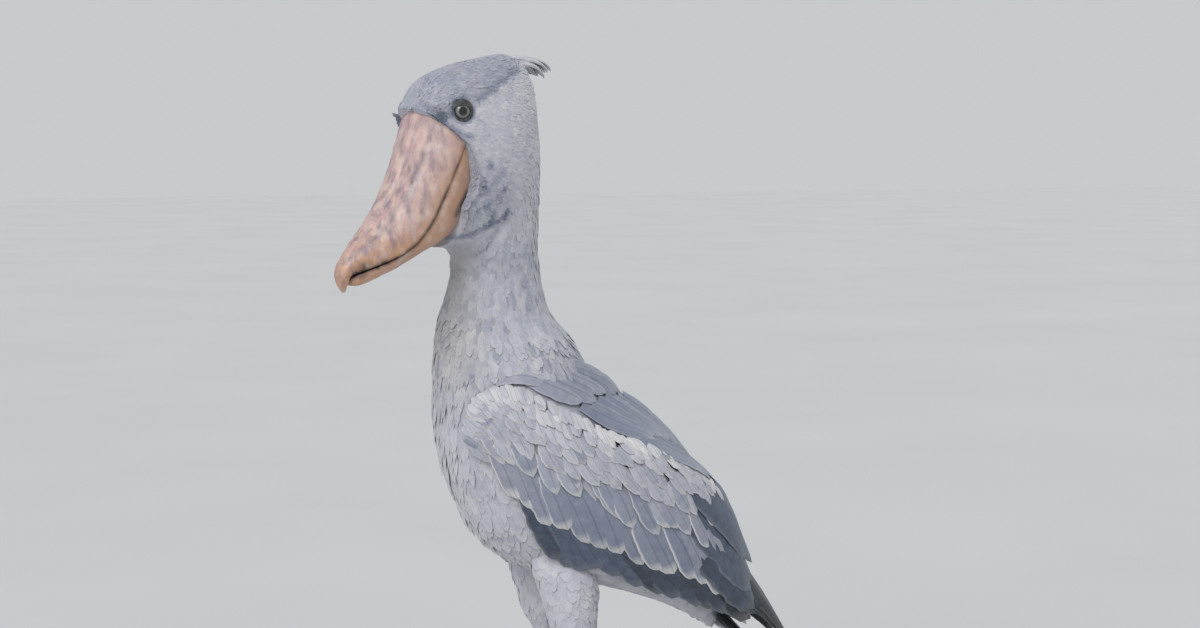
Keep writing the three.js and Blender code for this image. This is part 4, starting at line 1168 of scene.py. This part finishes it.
def crest_feathers(rng):
    """A short drooping tuft: full main feathers, with finer ones lying close over them."""
    vanes = [crest_feather(*main, 9.5, 9.0, 0.0, rng) for main in CREST]
    for i in range(FINE_CREST_COUNT):
        aside, lift, length = CREST[i % len(CREST)]
        vanes.append(crest_feather(aside + rng.uniform(-4, 4), lift + rng.uniform(0, 0.8),
                                   length * rng.uniform(0.7, 1.0), rng.uniform(4, 6), 0.6,
                                   rng.normal(-0.6 * aside, 3), rng))
    return joined_vanes("crest_feathers", vanes, BODY_FEATHERS)


# Bill
def whole_section(profile, count):
    """A half profile as a full ring of points, smoothed."""
    side = through(profile, np.linspace(0, len(profile) - 1, count))
    other = side[1:-1][::-1] * [-1, 1]
    return np.concatenate([side, other])


def bill_piece(name, rows, profile, steps, upper):
    """One half of the bill, from its mouth's edge to its ridge or chin, with the horn's soft dents."""
    x, share = whole_section(profile, 64).T
    t = np.linspace(0, len(rows) - 1, steps)
    cuts = through(rows, t)
    top, low, half = cuts[:, 0:2], cuts[:, 2:4], cuts[:, 4:]
    mouth, far = (low, top) if upper else (top, low)
    in_side = mouth[:, None] + (far - mouth)[:, None] * share[:, None]
    grid = np.concatenate([(half * x)[..., None], in_side], -1)
    flat = grid.reshape(-1, 3)
    out = unit(flat - np.repeat(grid.mean(1), len(x), axis=0))
    dents = 0.7 * rough(flat, 22, 2.0) + 0.35 * rough(flat * [1, 1, 0.4], 7, 5.0)
    ends = np.repeat(ease(len(rows) - 1, len(rows) - 2.2, t), len(x))
    flat = flat + out * (dents * ends)[:, None]
    points, faces, corners = tube(turned(flat).reshape(grid.shape))
    piece = new_object(name, points, faces, BILL_HORN, {"OFBake": corners})
    return combine(piece, side_prism(FACE_EDGE), "INTERSECT")


# Lines of the bill's side (y, z)
MOUTH = np.array([[-84, 992], [-94, 969], [-106, 944], [-119, 917], [-133, 891], [-150, 870], [-172, 855],
                  [-196, 845], [-214, 838], [-222, 834]], float)
GAPE_FOLD = np.array([[-78, 930], [-92, 905]], float)
KEEL_GROOVE = np.array([[-110, 1024], [-122, 1004], [-136, 968], [-158, 926], [-186, 888], [-222, 856]],
                       float)
HOOK_SPOT = (-214, 842, 8.94)


def paint_bill(piece, upper):
    """Where the horn is tan, blotched, flecked and dark near its tip, with painted shade in the mouth's seam,
    groove and fold.
    """
    local = in_head(points_of(piece.data))
    x, y, z = local.T
    from_mouth = from_line(y, z, MOUTH)
    from_groove = from_line(y, z, KEEL_GROOVE)
    along = ease(1000, 840, z)
    wander = rough(local, 14, 8.0)
    blotch = np.clip(0.8 * near(from_groove, 30) + 0.15 + 0.3 * wander, 0, 1)
    fleck = np.clip(0.3 * ease(940, 880, z) + 0.35 * near(from_groove, 16), 0, 1)
    # painted shade in the seam between the two halves of the bill
    dark_and_crease_shade = 0.9 * near(from_mouth, 2.8) * ease(0.1, 0.7, along + 0.3 * wander + 0.2)
    # painted shade down the keel's groove
    dark_and_crease_shade += 0.35 * near(from_groove, 2.2) * ease(10, 18, np.abs(x))
    # the horn's own dark: the hook, and blotches by the mouth near the tip
    dark_and_crease_shade += 0.6 * near(np.hypot(y - HOOK_SPOT[0], z - HOOK_SPOT[1]), HOOK_SPOT[2])
    dark_and_crease_shade += 0.6 * near(from_mouth, 8) * ease(876, 846, z) * ease(0.0, 0.4, rough(local, 9, 3.0))
    if upper:
        tan = 0.7 * near(from_mouth, 12 + 9 * along) + 0.3 * ease(0.65, 1, along)
    else:
        tan = 0.75 + 0.2 * wander
        blotch, fleck = 0.2 * blotch, 0.4 * fleck
        # painted shade in the fold at the gape
        dark_and_crease_shade += 0.9 * near(from_line(y, z, GAPE_FOLD), 4.5)
    for label, values in (("tan", tan), ("blotch", blotch), ("fleck", fleck), ("dark_and_crease_shade", dark_and_crease_shade)):
        set_attribute(piece.data, label, np.clip(values, 0, 1))


# Eyes and lids
GAZE = unit(np.array([0.92, -0.38, 0.05]))
CORNEA_BULGE = 1.05
# A lid's section: how far from its opening to its outer edge, and how high over the eyeball
LID_RING = [(0.0, 0.25), (0.10, 1.5), (0.45, 2.6), (1.0, 0.8), (1.1, -2.5), (0.4, -1.2)]


def eye_ways(side):
    """Where one eye looks, and the two ways square to that: up, and along the head."""
    gaze = GAZE * [side, 1, 1]
    up = unit(np.array([0, 0, 1.0]) - gaze * gaze[2])
    return gaze, up, np.cross(gaze, up) * side


def eye_piece(side):
    """The eyeball with its bulging cornea, and a map of how far each place is round and out from the gaze."""
    gaze, up, aside = eye_ways(side)
    centre = EYE_CENTRE * [side, 1, 1]
    tilts, rolls = np.pi * np.arange(1, 40) / 40, round_the(64)
    bulge = 1 + (CORNEA_BULGE - 1) * ease(math.radians(48), math.radians(20), tilts)
    round_gaze = up * np.cos(rolls)[:, None] + aside * np.sin(rolls)[:, None]
    ways = gaze * np.cos(tilts)[:, None, None] + round_gaze * np.sin(tilts)[:, None, None]
    points, faces, corners = tube(centre + ways * (EYE_RADIUS * bulge)[:, None, None])
    points[-2:] = centre + gaze * EYE_RADIUS * CORNEA_BULGE, centre - gaze * EYE_RADIUS

    def gaze_place(u, v):
        tilt = tilts[0] + (tilts[-1] - tilts[0]) * u
        return v, math.sin(min(math.pi / 2, tilt))

    places = [[gaze_place(u, v) for u, v in face] for face in corners]
    for face, spots in zip(corners, places):
        if len(face) == 3 and face[2][0] == 0:
            spots[2] = (face[2][1], 0.0)
    on_map = [[(0.5 + 0.45 * far * math.cos(math.tau * turn), 0.5 + 0.45 * far * math.sin(math.tau * turn))
               for turn, far in spots] for spots in places]
    maps = {"gaze": places, "OFBake": on_map}
    return new_object(f"eyeball_{SIDES[side]}", turned(points), faces, EYE, maps)


def lid_section(way_at, top, front, centre):
    """A lid's closed section at one place round the eye; top and front are 1 above and before the eye."""
    opening = math.radians(46 - 19 * max(0, top) ** 1.5 + max(0, -top) + 6 * abs(front) ** 5)
    outer = math.radians(88 + 10 * max(0, top))
    ring = []
    for f, high in LID_RING:
        wrinkle = 0.25 * math.sin(9 * f + 0.8) if 0.15 < f < 0.9 else 0
        brow = 2.2 * max(0, top) * near(f - 0.6, 0.35)
        way = way_at(opening + (outer - opening) * min(f, 1.02))
        ring.append(centre + way * (EYE_RADIUS + high + wrinkle + brow))
    closed = np.array([ring[-1], *ring, ring[0], ring[1]])
    return through(closed, np.arange(0, len(ring), 0.25) + 1)


def lids_piece(side):
    """Both lids of one eye as a ring of bare skin over the eyeball, the upper one drawn down a little."""
    gaze, up, aside = eye_ways(side)
    grid = []
    for roll in round_the(96):
        out = up * math.cos(roll) + aside * math.sin(roll)
        grid.append(lid_section(lambda tilt: gaze * math.cos(tilt) + out * math.sin(tilt),
                                math.cos(roll), math.sin(roll), EYE_CENTRE * [side, 1, 1]))
    turns, sides = len(grid), len(grid[0])
    faces, corners = [], []
    for r in range(turns):
        for s in range(sides):
            a, b = (r + 1) % turns, (s + 1) % sides
            faces.append((r * sides + s, r * sides + b, a * sides + b, a * sides + s))
            corners.append(((r / turns, s / sides), (r / turns, (s + 1) / sides),
                            ((r + 1) / turns, (s + 1) / sides), ((r + 1) / turns, s / sides)))
    points = turned(grid).reshape(-1, 3)
    piece = new_object(f"eyelids_{SIDES[side]}", points, faces, EYELID_SKIN, {"OFBake": corners})
    set_attribute(piece.data, "seam", np.zeros(len(points)))
    return piece


# Legs
TOE_RADIUS, TOE_END_RADIUS = 10.5, 6.8
CLAW_RADIUS, CLAW_END_RADIUS = 4.6, 0.5
CLAW_HEIGHT, CLAW_END_HEIGHT = 7.4, 1.3
CLAW_ROOT = 9.0  # how far a claw reaches back into its toe
PLATE = 6.2  # length of a toe's plates
SCALE_WIDE, SCALE_HIGH = 5.8, 5.0  # the shank's scales
SHANK_ROUND = 11.0  # radius at which the shank's scales are laid out


def toe_line(name):
    """The ways ahead and aside of a toe, its length and its claw's."""
    aim, length, claw = TOES[name]
    h = math.radians(aim)
    ahead, aside = np.array([-math.sin(h), -math.cos(h), 0.0]), np.array([math.cos(h), -math.sin(h), 0.0])
    return ahead, aside, length, claw


def toe_skin(name):
    ahead, aside, length, _ = toe_line(name)
    pads = round(length / 42)
    f = np.linspace(0, 1, 60)
    radius = TOE_RADIUS + (TOE_END_RADIUS - TOE_RADIUS) * f
    radius *= (1 + 0.09 * np.sin(f * pads * 2 * np.pi - 1.2)) * (1 - 0.35 * ease(0.93, 1, f))
    angle = round_the(28)
    centre = FOOT_SPOT + ahead * (2 + (length - 2) * f)[:, None]
    grid = centre[:, None] + aside * (radius[:, None] * np.cos(angle))[..., None]
    grid[..., 2] = np.maximum(0, radius[:, None] * (0.82 + np.sin(angle)))
    return grid


def leg_piece(side):
    """Shank, foot and toes as one scaly skin: plates across the toes and net-like scales up the leg."""
    angle = round_the(40)
    shank = on_limb(SHANK, np.linspace(0, len(SHANK) - 1, 90)[:, None], angle)
    tilt = np.linspace(0.02, np.pi - 0.02, 20)[:, None]
    ball = np.stack([np.sin(tilt) * np.cos(angle), np.sin(tilt) * np.sin(angle),
                     np.cos(tilt) + 0 * angle], -1) * FOOT_RADII + FOOT_CENTRE
    piece = None
    for grid in (shank, ball, *(toe_skin(name) for name in TOES)):
        points, faces, _ = tube(mirrored(grid, side) + leg_step(side))
        other = new_object("limb", points, faces, LEG_SKIN)
        piece = other if piece is None else combine(piece, other, "UNION")
    piece.name = f"leg_{SIDES[side]}"
    change = piece.modifiers.new("even", "REMESH")
    change.mode = "VOXEL"
    change.voxel_size = 1.25 * MM
    soften = piece.modifiers.new("soft", "SMOOTH")
    soften.factor = 0.5
    soften.iterations = 3
    plain_mesh(piece)
    scale_relief(piece, side)
    piece.data.materials.clear()
    piece.data.materials.append(LEG_SKIN)
    return piece


def scale_relief(piece, side):
    """Lifts the scales off the leg: plates on the toes, and small ones in rows round the shank."""
    points = points_of(piece.data)
    local = mirrored(points - leg_step(side), side)
    normals = vertex_numbers(piece.data, "normal")
    height = local[:, 2]
    flat = local[:, :2] - FOOT_SPOT[:2]
    best, toe_far = np.full(len(local), 1e9), np.zeros(len(local))
    for name in TOES:
        ahead, aside, _, _ = toe_line(name)
        far = flat @ ahead[:2]
        off = np.abs(flat @ aside[:2]) + np.where(far < 8, 999, 0)
        toe_far = np.where(off < best, far, toe_far)
        best = np.minimum(best, off)
    on_toe = ease(30, 22, height) * ease(10, 18, np.hypot(*flat.T)) * (best < 20)
    top = ease(0.35, 0.8, normals[:, 2])
    plate = toe_far / PLATE + 0.2 * rough(local, 30, 4.0)
    plate_gap = np.abs(plate - np.round(plate)) * 2
    toe_lift = 0.55 * (1 - (1 - plate_gap) ** 6) * top

    centre = through(SHANK, np.interp(-height, -SHANK[:, 2], np.arange(len(SHANK))))[:, :2]
    across = np.arctan2(local[:, 1] - centre[:, 1], local[:, 0] - centre[:, 0]) * SHANK_ROUND
    shift = np.where(np.floor(height / SCALE_HIGH) % 2 > 0, SCALE_WIDE / 2, 0)
    u = ((across + shift) / SCALE_WIDE) % 1 - 0.5
    v = (height / SCALE_HIGH) % 1 - 0.5
    cell = np.maximum(np.abs(u), np.abs(v)) * 2
    net_lift = 0.45 * (1 - cell ** 6)

    lift = on_toe * toe_lift + (1 - on_toe) * net_lift * ease(2, 8, height)
    lift += 0.12 * rough(local, 4.0, 1.0)
    points = points + normals * (lift - 0.35)[:, None] * ease(0.5, 3.0, height)[:, None]
    points[:, 2] = np.maximum(points[:, 2], 0)
    piece.data.vertices.foreach_set("co", place(points).astype(np.float32).ravel())
    piece.data.update()
    gaps = on_toe * (1 - plate_gap) ** 5 * top + (1 - on_toe) * ease(0.82, 1, cell)
    set_attribute(piece.data, "seam", np.clip(0.65 * gaps, 0, 1))


def claw_piece(name, side):
    ahead, aside, length, claw = toe_line(name)
    f = np.linspace(0, 1, 22)
    radius = CLAW_RADIUS + (CLAW_END_RADIUS - CLAW_RADIUS) * f ** 1.3
    centre = FOOT_SPOT + ahead * (length - CLAW_ROOT + f * (claw + CLAW_ROOT))[:, None]
    centre[:, 2] = CLAW_HEIGHT + (CLAW_END_HEIGHT - CLAW_HEIGHT) * f ** 2.2 + 1.2 * np.sin(f * np.pi)
    angle = round_the(20)
    ridge = 1 + 0.1 * np.maximum(0, np.sin(angle)) ** 3
    grid = (centre[:, None] + aside * (0.8 * radius[:, None] * np.cos(angle))[..., None]
            + np.array([0, 0, 1.0]) * (radius[:, None] * np.sin(angle) * ridge)[..., None])
    points, faces, corners = tube(mirrored(grid, side) + leg_step(side))
    piece = new_object(f"claw_tip_{name}_{SIDES[side]}", points, faces, CLAW_HORN, {"OFBake": corners})
    set_attribute(piece.data, "slate", np.interp(np.arange(len(points)), [0, len(points)], [0.1, 1.0]))
    return piece


# Making the bird
rng = np.random.default_rng(11)
flesh = {side: wing_flesh(side) for side in SIDES}
wing_walls = [BVHTree.FromPolygons([tuple(v.co) for v in piece.data.vertices],
                                   [tuple(p.vertices) for p in piece.data.polygons])
              for piece in flesh.values()]


def blocked(points, length, lie):
    """True where a feather would stand under the wing, in the bill, or over the eye."""
    local = in_head(points)
    edge = np.interp(local[:, 2], FACE_LINE[::-1, 1], FACE_LINE[::-1, 0])
    in_bill = (local[:, 1] < edge + 0.5) & (local[:, 2] > FACE_LINE[-1, 1] + 2)
    tips = in_head(points + lie * np.reshape(length, (-1, 1)) * 0.8)
    root_far, tip_far = from_eyes(local), from_eyes(tips)
    out = in_bill | (root_far < EYE_RADIUS + 3.2) | (tip_far < EYE_RADIUS + 2.2)
    for walls in wing_walls:
        for k, p in enumerate(place(points).tolist()):
            if not out[k] and points[k, 2] < 760:
                spot, normal, _, _ = walls.find_nearest(p, 0.05)
                if spot is not None and (Vector(p) - spot).dot(normal) < -2 * MM:
                    out[k] = True
    return out


skin = skin_piece()
for wing in flesh.values():
    combine(skin, wing, "UNION")
shaded(skin)
belong(skin, "plumage", "head", "neck", "torso", "thigh_left", "thigh_right")

tiny = vane_pattern("tiny vane", TINY, 0.03, 0.05, 0.03)
small = vane_pattern("small vane", SMALL, 0.03, 0.05, 0.025)
lance = vane_pattern("lance vane", LANCE, 0.03, 0.07, 0.025)
# Each stretch of the coat: its cuts; the gap, length and width of its vanes at some of them; their rise
COATS = [
    ("coat_face", tiny, (0.02, 5.0), [(0, 1.9), (2, 2.2), (5, 2.6)], [(0, 5.5), (2, 7), (5, 9.5)],
     [(0, 3.4), (5, 5.0)], 4),
    ("coat_nape", tiny, (5.0, 8.6), [(5, 2.6), (8.6, 3.2)], [(5, 9.5), (8.6, 13)], [(5, 5.0), (8.6, 6)], 4),
    ("coat_neck", small, (8.4, 12.4), [(8.4, 3.3), (12.4, 5.2)], [(8.4, 13.5), (12.4, 24)],
     [(8.4, 6.2), (12.4, 9.2)], 4),
    ("coat_breast", lance, (12.2, 15.6), [(12.2, 5.2), (15.6, 6.2)], [(12.2, 27), (15.6, 33)],
     [(12.2, 10), (15.6, 13)], 3.5),
    ("coat_belly", small, (15.4, 21.5), [(15.4, 6.0), (21.5, 4.6)], [(15.4, 30), (19.5, 26), (21.5, 11)],
     [(15.4, 14), (21.5, 9)], 3),
]
for coat in [body_coat(*stretch, rng) for stretch in COATS]:
    belong(coat, "plumage")


def thigh_coat(side):
    def surface(t, angle):
        return mirrored(on_limb(THIGH, t, angle, THIGH_DEPTH), side) + leg_step(side)

    t, angle = spread_roots(surface, (0.3, 6.9), [(0, 5.0), (7, 3.4)], rng, (60, 60))
    normal, down = facing_out(surface, t, angle, 0.05, 2)
    point = surface(t, angle)
    frames = frames_on(point, normal, down, 3.5, rng, 4)
    length = at_cuts([(0, 22), (7, 13)], t)
    size = np.stack([length * 0.52, length, length * 0.9], -1) * (1 + 0.12 * rng.normal(0, 1, (len(t), 1)))
    slate, warm = markings(point)
    slate = np.clip(slate * 0.8 + rng.normal(0, 0.03, len(t)), 0, 1)
    numbers = {"slate": slate, "warm": warm, "fringe": 0.15, "shaft": 0.05, "barbs": 10.0}
    on_map = on_atlas(f"thigh {side}", t / 7, (angle / (2 * np.pi)) % 1)
    return coat_piece(f"coat_thigh_{SIDES[side]}", small, point, frames, size, on_map, numbers, normal)


GAPE_GAP, GAPE_LENGTH = 1.8, 7.5


def gape_coat():
    """Short feathers on the face's forward wall, sweeping out round the back edge of the bill."""
    mesh = skin.data
    mesh.calc_loop_triangles()
    corners = points_of(mesh)[np.array([tri.vertices for tri in mesh.loop_triangles])]
    square = np.cross(corners[:, 1] - corners[:, 0], corners[:, 2] - corners[:, 0])
    local, ahead = in_head(corners.mean(1)), in_head(unit(square))
    wall = (ahead[:, 1] < -0.3) & (from_line(local[:, 1], local[:, 2], FACE_LINE) < 4)
    area = np.linalg.norm(square, axis=1) * wall / 2
    pick = rng.choice(len(area), 16000, p=area / area.sum())
    spots = np.sum(corners[pick] * rng.dirichlet([1, 1, 1], len(pick))[..., None], 1)

    x, _, z = in_head(spots).T
    beside = (np.abs(x) > 42) & (z > 862) & (z < 1006)
    above = z > np.maximum(1000, 1040 - 0.018 * x ** 2)
    spots, pick = spots[beside | above], pick[beside | above]
    taken, kept = np.zeros(len(spots), bool), []
    for k, spot in enumerate(spots):
        if not taken[k]:
            kept.append(k)
            taken |= np.linalg.norm(spots - spot, axis=1) < GAPE_GAP
    spots, normal = spots[kept], unit(square)[pick][kept]

    x, _, z = in_head(spots).T
    outwards = turned(unit(np.stack([x, 18 + 0 * x, z - 955], -1)))
    frames = frames_on(spots, normal, outwards, 14, rng)
    length = GAPE_LENGTH * (1 + 0.12 * rng.normal(0, 1, len(spots)))
    size = np.stack([length * 0.55, length, length * 0.9], -1)
    slate, warm = markings(spots)
    slate = np.clip(slate + 0.08 + rng.normal(0, 0.03, len(spots)), 0, 1)
    numbers = {"slate": slate, "warm": warm, "fringe": 0.1, "shaft": 0.0, "barbs": 10.0}
    on_map = on_atlas("body", 0.5 / LAST_CUT + 0 * z, (z - 850) / 170 % 1)
    return coat_piece("coat_gape", tiny, spots, frames, size, on_map, numbers, unit(outwards + normal))


belong(gape_coat(), "plumage")
for side, name in SIDES.items():
    belong(thigh_coat(side), "plumage")
    coverts, flight = wing_feathers(side, np.random.default_rng(20))
    belong(coverts, "plumage", f"wing_{name}")
    belong(flight, "flight_feathers")
    belong(eye_piece(side), "eye", f"eye_{name}")
    belong(lids_piece(side), "leg_skin")
    toes = [f"toe_{toe}_{name}" for toe in TOES]
    belong(leg_piece(side), "leg_skin", f"shank_{name}", f"foot_{name}", *toes)
    for toe in TOES:
        belong(claw_piece(toe, side), "claw_horn", f"claw_{toe}_{name}")

belong(tail_feathers(rng), "flight_feathers", "tail")
belong(crest_feathers(rng), "plumage", "crest")
for name, rows, profile, steps in (("upper", UPPER, UPPER_SECTION, 150),
                                   ("lower", LOWER, LOWER_SECTION, 110)):
    half_bill = bill_piece(f"{name}_bill", rows, profile, steps, name == "upper")
    paint_bill(half_bill, name == "upper")
    belong(half_bill, "bill_horn", f"bill_{name}")
for pattern in (tiny, small, lance):
    bpy.data.objects.remove(pattern)

# Stage: floor, light and the photograph's camera
VIEW_TURN, VIEW_TILT, VIEW_FAR = 72.0, 5.0, 2.6
PICTURE_SCALE = 1.25 * MM  # metres a pixel at the neck's axis, on a picture 1200 pixels wide
AXIS_PIXEL, PICTURE_WIDTH = 495.7, 1200
MIDDLE_HEIGHT = 0.776
SENSOR = 36
# Each light's kind, place in metres, strength, and width as an angle or in metres
LIGHTS = {"soft sun": ("SUN", (1.5, -1.3, 2.6), 1.35, math.radians(32)),
          "eye light": ("AREA", (2.6, -2.2, 1.9), 12, 1.2),
          "rim light": ("SUN", (-1.6, 2.6, 1.8), 0.3, 0.3)}


def lamp(name, kind, spot, power, wide):
    light = bpy.data.lights.new(name, kind)
    light.energy = power
    setattr(light, "angle" if kind == "SUN" else "size", wide)
    holder = linked(name, light)
    holder.location = spot
    holder.rotation_euler = (Vector((0, 0, 0.7)) - Vector(spot)).to_track_quat("-Z", "Y").to_euler()


def photo_camera():
    a, e = math.radians(VIEW_TURN), math.radians(VIEW_TILT)
    back = Vector((math.sin(a) * math.cos(e), -math.cos(a) * math.cos(e), math.sin(e)))
    right = Vector((math.cos(a), math.sin(a), 0))
    aim = right * (PICTURE_WIDTH / 2 - AXIS_PIXEL) * PICTURE_SCALE + Vector((0, 0, MIDDLE_HEIGHT))
    camera = bpy.data.cameras.new("camera")
    camera.sensor_width = SENSOR
    camera.lens = SENSOR * VIEW_FAR / PICTURE_SCALE / PICTURE_WIDTH
    holder = linked("camera", camera)
    holder.location = aim + Vector(HOME * MM) + back * VIEW_FAR
    holder.rotation_euler = (-back).to_track_quat("-Z", "Y").to_euler()
    bpy.context.scene.camera = holder


def stage():
    bpy.ops.mesh.primitive_plane_add(size=60)
    floor = bpy.context.object
    floor.name = "floor"
    floor.data.materials.append(FLOOR)
    photo_camera()
    for name, settings in LIGHTS.items():
        lamp(name, *settings)
    world = bpy.data.worlds.new("studio air")
    world.use_nodes = True
    air = world.node_tree.nodes["Background"]
    air.inputs["Color"].default_value = linear("#e3e5e7")
    air.inputs["Strength"].default_value = 0.75
    bpy.context.scene.world = world


stage()
bpy.context.scene.view_settings.view_transform = "Standard"
